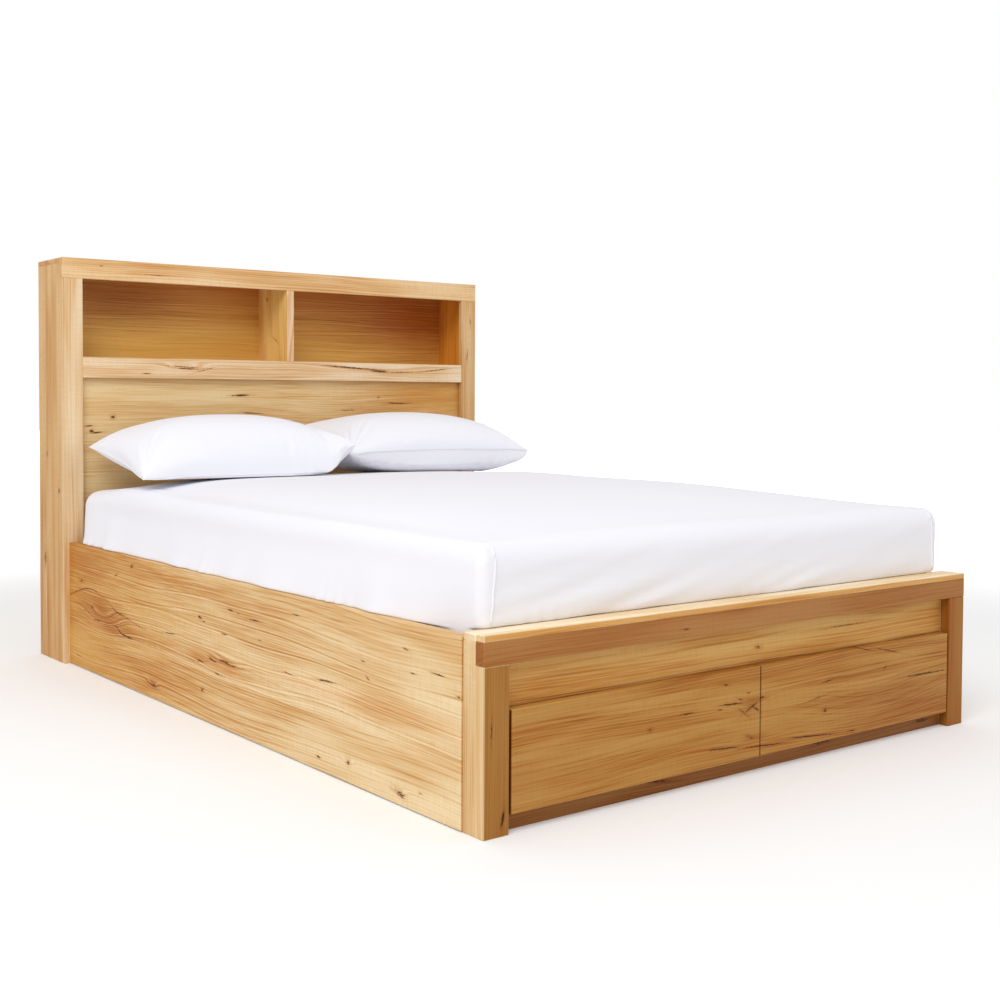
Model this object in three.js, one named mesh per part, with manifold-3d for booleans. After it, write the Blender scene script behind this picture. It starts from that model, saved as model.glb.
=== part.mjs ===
// A queen bed in solid hardwood. The headboard is a shallow case with two open
// niches, the foot end holds two drawers side by side on telescopic runners, and
// a slat base carries a mattress with a fitted sheet and two pillows.
//
// Millimetres, +Z up. +X runs across the bed, +Y from the foot to the head, and
// the origin is on the floor under the middle of the whole bed.

import * as THREE from "three";
import { mergeVertices } from "three/addons/utils/BufferGeometryUtils.js";
import Module from "manifold-3d";

const wasm = await Module();
wasm.setup();

// Driving sizes: the mattress, and how the frame goes round it
const mattressWidth = 1530;
const mattressLength = 2030;
const mattressEdgeHeight = 270;
const mattressSideGap = 7;
const mattressEndGap = 15;
const mattressShiftToFoot = 9;
const mattressSunk = 84;

// Driving sizes: side rails
const railThickness = 27;
const railTop = 384;
const railFloorGap = 3;
const railProud = 4;

// Driving sizes: footboard
const footboardTop = 394;
const facePostWidth = 63.5;
const faceThickness = 27;
const innerFrameDepth = 40;
const topStripHeight = 13;
const footFasciaHeight = 47;
const innerCapHeight = 16;
const footPanelThickness = 22;
const footPanelOverlap = 12;
const plinthHeight = 32;

// Driving sizes: headboard
const headboardTop = 1283;
const headboardOverhang = 18;
const headFrameThickness = 18;
const carcassDepth = 196;
const stileWidth = 66;
const headFasciaHeight = 64;
const nicheHeight = 247;
const midRailHeight = 66;
const dividerThickness = 27;
const sidePanelThickness = 22;
const topPanelThickness = 16;
const shelfThickness = 18;
const backPanelThickness = 9;
const backPanelFloorGap = 40;
const lowerPanelThickness = 20;
const lowerPanelSetBack = 4;
const lowerPanelFloorGap = 20;

// Driving sizes: eased arrises and fits
const ease = 1.2;
const grooveEase = 2;
const looseFit = 0.3;

// Driving sizes: drawer fronts and boxes
const frontBottom = 38.5;
const frontHeight = 205;
const frontThickness = 24;
const frontSetBack = 1;
const frontSideGap = 6;
const frontCentreGap = 2.5;
const boxLength = 582;
const boxHeight = 143;
const boxUnderside = 62;
const boxWall = 15;
const boxBottomThickness = 6;
const boxBottomRise = 6;
const boxGrooveDepth = 7;

// Driving sizes: what carries the drawers
const partitionThickness = 24;
const partitionLength = 600;
const partitionFloorGap = 3;
const battenHeight = 80;
const battenLength = 560;

// Driving sizes: telescopic runners, each a cabinet, a middle and a drawer member
const runnerThickness = 12.7;
const runnerHeight = 45;
const runnerLength = 550;
const runnerStart = 52;
const runnerCentre = 120;
const runnerSheet = 1.2;
const runnerPlay = 0.4;
const cabinetFlange = 10;
const middleFlange = 11;
const drawerFlangeRoom = 1.2;

// Driving sizes: slat base, beam and leg
const slatThickness = 18;
const slatWidth = 68;
const slatCount = 13;
const slatEndGap = 4;
const slatMargin = 12;
const tapeThickness = 1.2;
const tapeWidth = 25;
const tapeSpacing = 800;
const tapeSink = 0.2;
const cleatWidth = 40;
const cleatHeight = 40;
const beamWidth = 45;
const beamHeight = 60;
const legAcross = 32;
const legFlangeAcross = 70;
const legFlangeThickness = 5;
const legFootAcross = 50;
const legFootHeight = 12;
const legPlace = 350;
const legSides = 24;

// Driving sizes: steel angle brackets at the four corners
const bracketSheet = 3;
const bracketLongLeg = 40;
const bracketShortLeg = 20;
const bracketHeight = 70;
const bracketBottom = 165;
const screwHeadAcross = 8;
const screwHeadHeight = 2;
const screwHeadSides = 10;
const screwSink = 0.2;
const screwSpacing = 44;

// Driving sizes: how the mattress and pillows are shaped
const mattressCrown = 45;
const mattressRoll = 73;
const mattressLowerRoll = 15;
const mattressCorner = 28;
const mattressTightCorner = 5;
const mattressFootBulge = 23;
const mattressHeadBulge = 4;
const bulgeRise = 66;
const pillowLength = 708;
const pillowWidth = 460;
const pillowCornerLift = 16;
const pillowSpacing = 716;
const pillowShiftBack = 22;
const leftPillowSideInset = 6;
const leftPillowHeadGap = 46.5;
const leftPillowSeam = 98;
const leftPillowRise = 118;
const leftPillowDrop = 92;
const rightPillowSeam = 74;
const rightPillowRise = 146;
const rightPillowDrop = 72;
const restGap = 0.5;

// How far the pillows are turned, in degrees
const leftPillowTurn = -4;
const rightPillowTurn = -2;

// Shares that shape the mattress and the pillows
const bulgeHalfShare = 0.75;
const crownShares = [0.93, 0.82, 0.62, 0.35];
const pillowEndShare = 0.05;
const pillowSideShare = 0.06;

// Levels and half widths worked out from the driving sizes
const innerHalf = mattressWidth / 2 + mattressSideGap;
const railOuter = innerHalf + railThickness;
const footHalf = railOuter - railProud;
const headHalf = railOuter + headboardOverhang;
const openingHalf = footHalf - facePostWidth;
const footDepth = faceThickness + innerFrameDepth;
const innerLength = mattressLength + 2 * mattressEndGap;
const headDepth = headFrameThickness + carcassDepth;
const bedLength = footDepth + innerLength + headDepth;

const footFront = -bedLength / 2;
const footBack = footFront + footDepth;
const innerFrameFront = footFront + faceThickness;
const footPanelBack = innerFrameFront + footPanelThickness;
const headFront = footBack + innerLength;
const carcassFront = headFront + headFrameThickness;
const headBack = headFront + headDepth;
const backPanelFront = headBack - backPanelThickness;

const frontTop = frontBottom + frontHeight;
const footFasciaTop = footboardTop - topStripHeight;
const footFasciaBottom = footFasciaTop - footFasciaHeight;
const innerPostTop = footboardTop - innerCapHeight;
const slatTop = railTop - mattressSunk;
const slatBottom = slatTop - slatThickness;
const beamBottom = slatBottom - beamHeight;
const mattressBottom = slatTop + tapeThickness + looseFit;
const mattressEdge = mattressBottom + mattressEdgeHeight;
const headFasciaBottom = headboardTop - headFasciaHeight;
const midRailTop = headFasciaBottom - nicheHeight;
const midRailBottom = midRailTop - midRailHeight;
const shelfBottom = midRailTop - shelfThickness;
const carcassTop = headboardTop - topPanelThickness;
const carcassHalf = headHalf - sidePanelThickness;

// Colours of the finished pieces
const hardwoodColour = 0xd6a362;
const hardwoodPaleColour = 0xe3bb82;
const hardwoodDeepColour = 0xb07a3e;
const boxColour = 0xdcc79c;
const plyColour = 0xd0b483;
const zincColour = 0xb9bcc0;
const blackSteelColour = 0x2f3033;
const sheetColour = 0xf3f3f6;
const pillowColour = 0xf7f7fa;
const woodFinish = { roughness: 0.5, metalness: 0 };
const clothFinish = { roughness: 0.9, metalness: 0 };
const zincFinish = { roughness: 0.35, metalness: 0.9 };
const paintFinish = { roughness: 0.4, metalness: 0.6 };

const bed = new THREE.Group();

// Adds a finished piece to the bed under its own name, with a material of its own.
function addPiece(name, geometry, colour, finish = woodFinish) {
  const material = new THREE.MeshStandardMaterial({ color: colour, ...finish });
  const mesh = new THREE.Mesh(geometry, material);
  mesh.name = name;
  bed.add(mesh);
  return mesh;
}

// The span [low, high] seen from the left side (-1) or the right side (+1).
function sideSpan(side, near, far) {
  return side < 0 ? [-far, -near] : [near, far];
}

const sides = [["left", -1], ["right", 1]];

// A box with its twelve arrises planed off at 45 degrees. Every corner gives
// three points, one on each face that meets there.
function easedBox(sizes, cut) {
  const half = sizes.map((size) => size / 2);
  const cornerSigns = [];
  for (const x of [-1, 1]) {
    for (const y of [-1, 1]) {
      for (const z of [-1, 1]) cornerSigns.push([x, y, z]);
    }
  }
  const position = [];
  const indexOf = (signs, axis) => {
    const corner = cornerSigns.findIndex((other) => other.every((value, i) => value === signs[i]));
    return corner * 3 + axis;
  };
  for (const signs of cornerSigns) {
    for (const axis of [0, 1, 2]) {
      position.push(...signs.map((sign, i) => sign * (half[i] - (i === axis ? 0 : cut))));
    }
  }
  const index = [];
  const point = (i) => new THREE.Vector3(...position.slice(3 * i, 3 * i + 3));
  const addTriangle = (a, b, c) => {
    const normal = point(b).sub(point(a)).cross(point(c).sub(point(a)));
    index.push(...(normal.dot(point(a)) > 0 ? [a, b, c] : [a, c, b]));
  };
  const addQuad = (a, b, c, d) => {
    addTriangle(a, b, c);
    addTriangle(a, c, d);
  };
  const place = (axis, sign, second, secondSign, third, thirdSign) => {
    const signs = [];
    signs[axis] = sign;
    signs[second] = secondSign;
    signs[third] = thirdSign;
    return signs;
  };
  for (const axis of [0, 1, 2]) {
    const second = (axis + 1) % 3;
    const third = (axis + 2) % 3;
    for (const sign of [-1, 1]) {
      const ring = [[-1, -1], [1, -1], [1, 1], [-1, 1]];
      addQuad(...ring.map(([b, c]) => indexOf(place(axis, sign, second, b, third, c), axis)));
    }
    for (const [b, c] of [[-1, -1], [1, -1], [1, 1], [-1, 1]]) {
      const low = place(axis, -1, second, b, third, c);
      const high = place(axis, 1, second, b, third, c);
      addQuad(indexOf(low, second), indexOf(high, second), indexOf(high, third), indexOf(low, third));
    }
  }
  for (const signs of cornerSigns) {
    addTriangle(...[0, 1, 2].map((axis) => indexOf(signs, axis)));
  }
  const geometry = new THREE.BufferGeometry();
  geometry.setAttribute("position", new THREE.Float32BufferAttribute(position, 3));
  geometry.setIndex(index);
  return geometry;
}

// A planed board that fills three spans, with eased arrises.
function board(name, x, y, z, colour = hardwoodColour, cut = ease) {
  const spans = [x, y, z];
  const mesh = addPiece(name, easedBox(spans.map(([low, high]) => high - low), cut), colour);
  mesh.position.set(...spans.map(([low, high]) => (low + high) / 2));
  return mesh;
}

// An outline of [x, y] points pulled straight through a length.
function extrude(points, length) {
  const shape = new THREE.Shape(points.map(([x, y]) => new THREE.Vector2(x, y)));
  return new THREE.ExtrudeGeometry(shape, { depth: length, bevelEnabled: false });
}

// Turns an extrusion so that its outline lies in x and z, and it runs towards -Y.
function alongBed(geometry) {
  return geometry.rotateX(Math.PI / 2);
}

// Turns an extrusion so that its outline lies in y and z, and it runs towards +X.
function acrossBed(geometry) {
  const turn = new THREE.Matrix4().makeBasis(
    new THREE.Vector3(0, 1, 0),
    new THREE.Vector3(0, 0, 1),
    new THREE.Vector3(1, 0, 0),
  );
  return geometry.applyMatrix4(turn);
}

// A closed three.js mesh as a solid that can be joined and cut.
function solidOf(geometry) {
  const bare = geometry.clone();
  bare.deleteAttribute("normal");
  bare.deleteAttribute("uv");
  const merged = mergeVertices(bare);
  return new wasm.Manifold(new wasm.Mesh({
    numProp: 3,
    vertProperties: new Float32Array(merged.attributes.position.array),
    triVerts: new Uint32Array(merged.index.array),
  }));
}

function geometryOf(solid) {
  const mesh = solid.getMesh();
  const geometry = new THREE.BufferGeometry();
  geometry.setAttribute("position", new THREE.Float32BufferAttribute(mesh.vertProperties, 3));
  geometry.setIndex([...mesh.triVerts]);
  return geometry;
}

// A plain block that fills three spans, for joining to other solids.
function block(x, y, z) {
  const geometry = new THREE.BoxGeometry(x[1] - x[0], y[1] - y[0], z[1] - z[0]);
  return geometry.translate((x[0] + x[1]) / 2, (y[0] + y[1]) / 2, (z[0] + z[1]) / 2);
}

// Side rails: one wide board each, from the footboard to the headboard. A cleat
// along the inner face carries the ends of the slats.
for (const [label, side] of sides) {
  board(`side_rail_${label}`, sideSpan(side, innerHalf, railOuter), [footBack, headFront],
    [railFloorGap, railTop]);
  board(`slat_cleat_${label}`, sideSpan(side, innerHalf - cleatWidth, innerHalf),
    [footBack, headFront], [slatBottom - cleatHeight, slatBottom], boxColour);
}

// Footboard, outer face: two posts, a fascia across their tops and a thin strip
// over it. Wide arrises along the back make the groove that shows at the ends.
const footAcross = [-footHalf, footHalf];
const faceDepth = [footFront, innerFrameFront];
for (const [label, side] of sides) {
  board(`footboard_face_post_${label}`, sideSpan(side, openingHalf, footHalf), faceDepth,
    [0, footFasciaBottom], hardwoodColour, grooveEase);
}
board("footboard_fascia", footAcross, faceDepth, [footFasciaBottom, footFasciaTop],
  hardwoodDeepColour, ease);
board("footboard_top_strip", footAcross, faceDepth, [footFasciaTop, footboardTop],
  hardwoodPaleColour, ease);

// Footboard, inner frame: posts, a cap over them, the panel above the drawers
// and the plinth below them.
const innerDepth = [innerFrameFront, footBack];
const panelDepth = [innerFrameFront, footPanelBack];
const openingAcross = [-openingHalf, openingHalf];
for (const [label, side] of sides) {
  board(`footboard_inner_post_${label}`, sideSpan(side, openingHalf, footHalf), innerDepth,
    [0, innerPostTop], hardwoodColour, grooveEase);
}
board("footboard_inner_cap", footAcross, innerDepth, [innerPostTop, footboardTop],
  hardwoodPaleColour, grooveEase);
board("footboard_panel", openingAcross, panelDepth, [frontTop - footPanelOverlap, innerPostTop]);
board("footboard_plinth", openingAcross, panelDepth, [0, plinthHeight], hardwoodDeepColour);

// Headboard case: sides, top and shelf, with a divider between the two niches
// and one thin panel that closes the back.
const carcassSpan = [carcassFront, headBack];
const insideSpan = [carcassFront, backPanelFront];
const carcassAcross = [-carcassHalf, carcassHalf];
for (const [label, side] of sides) {
  board(`headboard_side_${label}`, sideSpan(side, carcassHalf, headHalf), carcassSpan,
    [0, carcassTop]);
}
board("headboard_top", [-headHalf, headHalf], carcassSpan, [carcassTop, headboardTop]);
board("headboard_shelf", carcassAcross, insideSpan, [shelfBottom, midRailTop]);
board("headboard_back", carcassAcross, [backPanelFront, headBack], [backPanelFloorGap, carcassTop],
  plyColour);
board("headboard_lower_panel", carcassAcross,
  [carcassFront + lowerPanelSetBack, carcassFront + lowerPanelSetBack + lowerPanelThickness],
  [lowerPanelFloorGap, shelfBottom]);

// The divider shows flush with the face frame, and steps back behind the fascia.
const dividerOutline = [
  [headFront, midRailTop],
  [backPanelFront, midRailTop],
  [backPanelFront, carcassTop],
  [carcassFront, carcassTop],
  [carcassFront, headFasciaBottom],
  [headFront, headFasciaBottom],
];
const divider = acrossBed(extrude(dividerOutline, dividerThickness));
addPiece("headboard_divider", divider, hardwoodColour).position.x = -dividerThickness / 2;

// Headboard face frame: stiles to the floor, the fascia over them and the rail
// below the niches.
const faceFrame = [headFront, carcassFront];
for (const [label, side] of sides) {
  board(`headboard_stile_${label}`, sideSpan(side, headHalf - stileWidth, headHalf), faceFrame,
    [0, headFasciaBottom], hardwoodPaleColour);
}
board("headboard_fascia", [-headHalf, headHalf], faceFrame, [headFasciaBottom, headboardTop],
  hardwoodPaleColour);
board("headboard_mid_rail", [stileWidth - headHalf, headHalf - stileWidth], faceFrame,
  [midRailBottom, midRailTop], hardwoodPaleColour);

// Centre beam under the slats, and the steel leg that props it near the head.
board("centre_beam", [-beamWidth / 2, beamWidth / 2],
  [footPanelBack, carcassFront + lowerPanelSetBack], [beamBottom, slatBottom], boxColour);
const legProfile = [
  [0, 0],
  [legFootAcross / 2, 0],
  [legFootAcross / 2, legFootHeight / 2],
  [legAcross / 2, legFootHeight],
  [legAcross / 2, beamBottom - legFlangeThickness],
  [legFlangeAcross / 2, beamBottom - legFlangeThickness],
  [legFlangeAcross / 2, beamBottom],
  [0, beamBottom],
];
const leg = new THREE.LatheGeometry(legProfile.map(([r, z]) => new THREE.Vector2(r, z)), legSides);
addPiece("centre_leg", leg.rotateX(Math.PI / 2), blackSteelColour, paintFinish).position.y = legPlace;

// Slat base: equal slats, stapled to two webbing tapes that keep their spacing.
const firstSlat = footBack + slatMargin + slatWidth / 2;
const lastSlat = headFront - slatMargin - slatWidth / 2;
const slatPitch = (lastSlat - firstSlat) / (slatCount - 1);
const slatAcross = [slatEndGap - innerHalf, innerHalf - slatEndGap];
const slatPieces = [];
for (let i = 0; i < slatCount; i += 1) {
  const middle = firstSlat + i * slatPitch;
  slatPieces.push(block(slatAcross, [middle - slatWidth / 2, middle + slatWidth / 2],
    [slatBottom, slatTop]));
}
for (const [, side] of sides) {
  const middle = side * tapeSpacing / 2;
  slatPieces.push(block([middle - tapeWidth / 2, middle + tapeWidth / 2],
    [firstSlat - slatWidth / 2, lastSlat + slatWidth / 2],
    [slatTop - tapeSink, slatTop + tapeThickness]));
}
const slatBase = slatPieces.map(solidOf).reduce((all, piece) => all.add(piece));
addPiece("slat_base", geometryOf(slatBase), boxColour);

// Corner brackets: a steel angle with four round screw heads, drawn for the
// right rail at the head, then mirrored to the other corners.
const bracketOutline = [
  [0, 0],
  [-bracketShortLeg, 0],
  [-bracketShortLeg, -bracketSheet],
  [-bracketSheet, -bracketSheet],
  [-bracketSheet, -bracketLongLeg],
  [0, -bracketLongLeg],
];

function screwHead() {
  const radius = screwHeadAcross / 2;
  const height = screwHeadHeight + screwSink;
  return new THREE.CylinderGeometry(radius / 2, radius, height, screwHeadSides);
}

function bracket(side, end) {
  const outline = bracketOutline.map(([x, y]) => [x * side, y * end]);
  let solid = solidOf(extrude(outline, bracketHeight));
  const reach = (screwHeadHeight - screwSink) / 2;
  for (const level of [-1, 1]) {
    const z = (bracketHeight + level * screwSpacing) / 2;
    const onRail = screwHead().rotateZ(side * Math.PI / 2);
    onRail.translate(-side * (bracketSheet + reach), -end * (bracketLongLeg + bracketSheet) / 2, z);
    const onPost = screwHead().rotateZ(end > 0 ? Math.PI : 0);
    onPost.translate(-side * (bracketShortLeg + bracketSheet) / 2, -end * (bracketSheet + reach), z);
    solid = solid.add(solidOf(onRail)).add(solidOf(onPost));
  }
  return geometryOf(solid);
}

for (const [label, side] of sides) {
  for (const [place, end, plane] of [["head", 1, headFront], ["foot", -1, footBack]]) {
    const mesh = addPiece(`corner_bracket_${place}_${label}`, bracket(side, end),
      blackSteelColour, paintFinish);
    mesh.position.set(side * innerHalf, plane, bracketBottom);
  }
}

// What carries the drawers: a partition between them, and a batten on each rail
// that brings the outer runners out to the line of the posts.
board("drawer_partition", [-partitionThickness / 2, partitionThickness / 2],
  [footPanelBack, footPanelBack + partitionLength], [partitionFloorGap, beamBottom], boxColour);
for (const [label, side] of sides) {
  board(`runner_batten_${label}`, sideSpan(side, openingHalf, innerHalf),
    [footBack, footBack + battenLength],
    [runnerCentre - battenHeight / 2, runnerCentre + battenHeight / 2], boxColour);
}

// Outline of a channel: a web whose back is at `web`, with flanges that reach to `tip`.
function channel(web, tip, halfHeight) {
  const inward = Math.sign(tip - web) * runnerSheet;
  return [
    [web, -halfHeight],
    [tip, -halfHeight],
    [tip, runnerSheet - halfHeight],
    [web + inward, runnerSheet - halfHeight],
    [web + inward, halfHeight - runnerSheet],
    [tip, halfHeight - runnerSheet],
    [tip, halfHeight],
    [web, halfHeight],
  ];
}

// One telescopic runner. `wall` is the face it is screwed to, and `way` points
// from that face to the drawer.
const middleWeb = runnerSheet + runnerPlay;
const middleHalf = runnerHeight / 2 - runnerSheet - runnerPlay;
const drawerHalf = middleHalf - runnerSheet - runnerPlay;
const drawerFlangeTip = middleWeb + runnerSheet + drawerFlangeRoom;
const runnerMembers = [
  ["cabinet", channel(0, cabinetFlange, runnerHeight / 2)],
  ["middle", channel(middleWeb, middleFlange, middleHalf)],
  ["drawer", channel(runnerThickness, drawerFlangeTip, drawerHalf)],
];

function runner(name, wall, way) {
  for (const [member, outline] of runnerMembers) {
    const geometry = alongBed(extrude(outline.map(([x, z]) => [way * x, z]), runnerLength));
    const mesh = addPiece(`${name}_${member}`, geometry, zincColour, zincFinish);
    mesh.position.set(wall, footFront + runnerStart + runnerLength, runnerCentre);
  }
}

// Drawers: a front with a box behind it. The thin bottom slides in grooves in
// the sides, under the back.
const boxFront = footFront + frontSetBack + frontThickness;
const boxBack = boxFront + boxLength;
const boxTop = boxUnderside + boxHeight;
const bottomLow = boxUnderside + boxBottomRise;
const bottomTop = bottomLow + boxBottomThickness;
const boxOuter = openingHalf - runnerThickness;
const boxInner = partitionThickness / 2 + runnerThickness;

// Outline of a box side in x and z: `face` is its outer face and `way` points
// into the drawer, where the groove for the bottom is.
function boxSideOutline(way) {
  const grooveFloor = boxWall - boxGrooveDepth;
  return [
    [0, 0],
    [boxWall, 0],
    [boxWall, boxBottomRise - looseFit],
    [grooveFloor, boxBottomRise - looseFit],
    [grooveFloor, boxBottomRise + boxBottomThickness + looseFit],
    [boxWall, boxBottomRise + boxBottomThickness + looseFit],
    [boxWall, boxHeight - ease],
    [boxWall - ease, boxHeight],
    [ease, boxHeight],
    [0, boxHeight - ease],
  ].map(([x, z]) => [way * x, z]);
}

for (const [label, side] of sides) {
  board(`${label}_drawer_front`, sideSpan(side, frontCentreGap / 2, openingHalf - frontSideGap),
    [footFront + frontSetBack, boxFront], [frontBottom, frontTop]);
  for (const [place, face, way] of [["outer", boxOuter, -1], ["inner", boxInner, 1]]) {
    const geometry = alongBed(extrude(boxSideOutline(way * side), boxLength));
    const mesh = addPiece(`${label}_drawer_${place}_side`, geometry, boxColour);
    mesh.position.set(side * face, boxBack, boxUnderside);
  }
  board(`${label}_drawer_back`, sideSpan(side, boxInner + boxWall, boxOuter - boxWall),
    [boxBack - boxWall, boxBack], [bottomTop + looseFit, boxTop], boxColour);
  const reach = boxWall - boxGrooveDepth + looseFit;
  board(`${label}_drawer_bottom`, sideSpan(side, boxInner + reach, boxOuter - reach),
    [boxFront + looseFit, boxBack], [bottomLow, bottomTop], plyColour, looseFit);
  runner(`${label}_outer_runner`, side * openingHalf, -side);
  runner(`${label}_inner_runner`, side * partitionThickness / 2, side);
}

// The mattress top: a low crown that is nearly flat in the middle and falls to
// nothing where the edges begin to roll over.
const mattressMiddle = (footBack + headFront) / 2 - mattressShiftToFoot;
const bulgeMiddle = mattressMiddle + (mattressHeadBulge - mattressFootBulge) / 2;
const bulgeHalfLength = (mattressLength + mattressFootBulge + mattressHeadBulge) / 2;
const crownHalfWidth = mattressWidth / 2 - mattressRoll;
const crownHalfLength = bulgeHalfLength - mattressRoll;
const crownPower = 4;

function mattressTopAt(x, y) {
  const across = Math.min(1, Math.abs(x) / crownHalfWidth) ** crownPower;
  const along = Math.min(1, Math.abs(y - bulgeMiddle) / crownHalfLength) ** crownPower;
  return mattressEdge + mattressCrown * (1 - across) * (1 - along);
}

// A rounded rectangle as a closed ring of [x, y] points, the same number at any size.
function roundedRing(halfWidth, halfLength, radius) {
  const stepsRound = 6;
  const stepsAcross = 6;
  const stepsAlong = 8;
  const points = [];
  const corners = [[1, 1, 0], [-1, 1, 1], [-1, -1, 2], [1, -1, 3]];
  for (const [signX, signY, quarter] of corners) {
    const centreX = signX * (halfWidth - radius);
    const centreY = signY * (halfLength - radius);
    for (let i = 0; i <= stepsRound; i += 1) {
      const angle = (quarter + i / stepsRound) * Math.PI / 2;
      points.push([centreX + radius * Math.cos(angle), centreY + radius * Math.sin(angle)]);
    }
    const across = quarter % 2 === 0;
    const steps = across ? stepsAcross : stepsAlong;
    const run = 2 * (across ? halfWidth : halfLength) - 2 * radius;
    const [lastX, lastY] = points[points.length - 1];
    for (let i = 1; i < steps; i += 1) {
      const step = i / steps * run;
      points.push(across ? [lastX - signX * step, lastY] : [lastX, lastY - signY * step]);
    }
  }
  return points;
}

// Joins rings of points from the bottom to the top, and closes both ends on a point.
function closedLoft(rings, bottomPoint, topPoint) {
  const position = [...bottomPoint, ...rings.flat(2), ...topPoint];
  const count = rings[0].length;
  const top = 1 + rings.length * count;
  const index = [];
  for (let i = 0; i < count; i += 1) {
    const next = (i + 1) % count;
    index.push(0, 1 + next, 1 + i);
    for (let k = 0; k + 1 < rings.length; k += 1) {
      const low = 1 + k * count;
      const high = low + count;
      index.push(low + i, low + next, high + next, low + i, high + next, high + i);
    }
    index.push(top - count + i, top - count + next, top);
  }
  const geometry = new THREE.BufferGeometry();
  geometry.setAttribute("position", new THREE.Float32BufferAttribute(position, 3));
  geometry.setIndex(index);
  return geometry;
}

// Mattress: the sides stand straight, the ends swell over the footboard and
// towards the headboard, and the edges roll over into the crown. Each level has
// how far the outline grows past the mattress size, its share of the bulge at
// the ends, and its height.
const rollSteps = 6;
const rollBottom = mattressEdge - mattressRoll;
const bulgeTop = footboardTop + bulgeRise;
const mattressLevels = [
  [-mattressLowerRoll, 0, mattressBottom],
  [0, 0, mattressBottom + mattressLowerRoll],
  [0, 0, footboardTop],
  [0, bulgeHalfShare, (footboardTop + bulgeTop) / 2],
  [0, 1, bulgeTop],
  [0, 1, rollBottom],
];
for (let i = 1; i <= rollSteps; i += 1) {
  const angle = i / rollSteps * Math.PI / 2;
  mattressLevels.push([
    -mattressRoll * (1 - Math.cos(angle)), 1, rollBottom + mattressRoll * Math.sin(angle),
  ]);
}
const mattressRings = mattressLevels.map(([grow, share, z]) => {
  const halfLength = mattressLength / 2 + share * (bulgeHalfLength - mattressLength / 2) + grow;
  const middle = mattressMiddle + share * (bulgeMiddle - mattressMiddle);
  const radius = Math.max(mattressTightCorner, mattressCorner + grow);
  const ring = roundedRing(mattressWidth / 2 + grow, halfLength, radius);
  return ring.map(([x, y]) => [x, y + middle, z]);
});
for (const share of crownShares) {
  const ring = roundedRing(share * crownHalfWidth, share * crownHalfLength,
    share * mattressTightCorner);
  mattressRings.push(ring.map(([x, y]) => {
    const farY = y + bulgeMiddle;
    return [x, farY, mattressTopAt(x, farY)];
  }));
}
addPiece("mattress", closedLoft(mattressRings, [0, mattressMiddle, mattressBottom],
  [0, bulgeMiddle, mattressEdge + mattressCrown]), sheetColour, clothFinish);

// Closes an upper and a lower grid of points that share their outer edge.
function twoSided(topRows, bottomRows, stepsAlong, stepsAcross) {
  const position = [...topRows.flat(), ...bottomRows.flat()];
  const index = [];
  const at = (i, j) => i * (stepsAcross + 1) + j;
  const lower = topRows.length;
  for (let i = 0; i < stepsAlong; i += 1) {
    for (let j = 0; j < stepsAcross; j += 1) {
      const [a, b, c, d] = [at(i, j), at(i + 1, j), at(i + 1, j + 1), at(i, j + 1)];
      index.push(a, b, c, a, c, d);
      index.push(lower + a, lower + c, lower + b, lower + a, lower + d, lower + c);
    }
  }
  const geometry = new THREE.BufferGeometry();
  geometry.setAttribute("position", new THREE.Float32BufferAttribute(position, 3));
  geometry.setIndex(index);
  return mergeVertices(geometry);
}

// A pillow lying on the mattress. s and t run from -1 to 1 along and across it.
// The edges draw in between the corners, the seam lifts towards the corners, and
// the underside is flat where it rests.
const pillowStepsAlong = 22;
const pillowStepsAcross = 14;
const pillowFullPower = 2.6;
const pillowEdgePower = 0.46;

function pillow(centreX, centreY, turn, seam, rise, drop) {
  const angle = THREE.MathUtils.degToRad(turn);
  const topRows = [];
  const bottomRows = [];
  for (let i = 0; i <= pillowStepsAlong; i += 1) {
    const s = -Math.cos(Math.PI * i / pillowStepsAlong);
    for (let j = 0; j <= pillowStepsAcross; j += 1) {
      const t = -Math.cos(Math.PI * j / pillowStepsAcross);
      const along = pillowLength / 2 * s * (1 - pillowEndShare * (1 - t * t) * s * s);
      const across = pillowWidth / 2 * t * (1 - pillowSideShare * (1 - s * s) * t * t);
      const x = centreX + along * Math.cos(angle) - across * Math.sin(angle);
      const y = centreY + along * Math.sin(angle) + across * Math.cos(angle);
      const middle = (1 - Math.abs(s) ** pillowFullPower) * (1 - Math.abs(t) ** pillowFullPower);
      const full = Math.max(0, middle) ** pillowEdgePower;
      const seamLevel = mattressEdge + seam + pillowCornerLift * s * s * t * t;
      const rest = mattressTopAt(x, y) + restGap;
      topRows.push([x, y, seamLevel + rise * full]);
      bottomRows.push([x, y, Math.max(rest, seamLevel - drop * full)]);
    }
  }
  return twoSided(topRows, bottomRows, pillowStepsAlong, pillowStepsAcross);
}

const leftPillowX = (pillowLength - mattressWidth) / 2 + leftPillowSideInset;
const leftPillowY = headFront - leftPillowHeadGap - pillowWidth / 2;
addPiece("pillow_left", pillow(leftPillowX, leftPillowY, leftPillowTurn,
  leftPillowSeam, leftPillowRise, leftPillowDrop), pillowColour, clothFinish);
addPiece("pillow_right", pillow(leftPillowX + pillowSpacing, leftPillowY + pillowShiftBack,
  rightPillowTurn, rightPillowSeam, rightPillowRise, rightPillowDrop), pillowColour, clothFinish);

export default bed;
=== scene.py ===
# %% [markdown]
# A bed with a storage headboard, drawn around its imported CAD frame. The real bed is
# solid pale hardwood with an open case for a headboard, two drawers in the foot, and a
# mattress in a white fitted sheet with two pillows. The boards could be modelled again,
# but the CAD has each at its true size, so they stay and only get their timber here.
# The bedding is new cloth, made where the CAD keeps its room.

# %% Tools and the frame
import math

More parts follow.
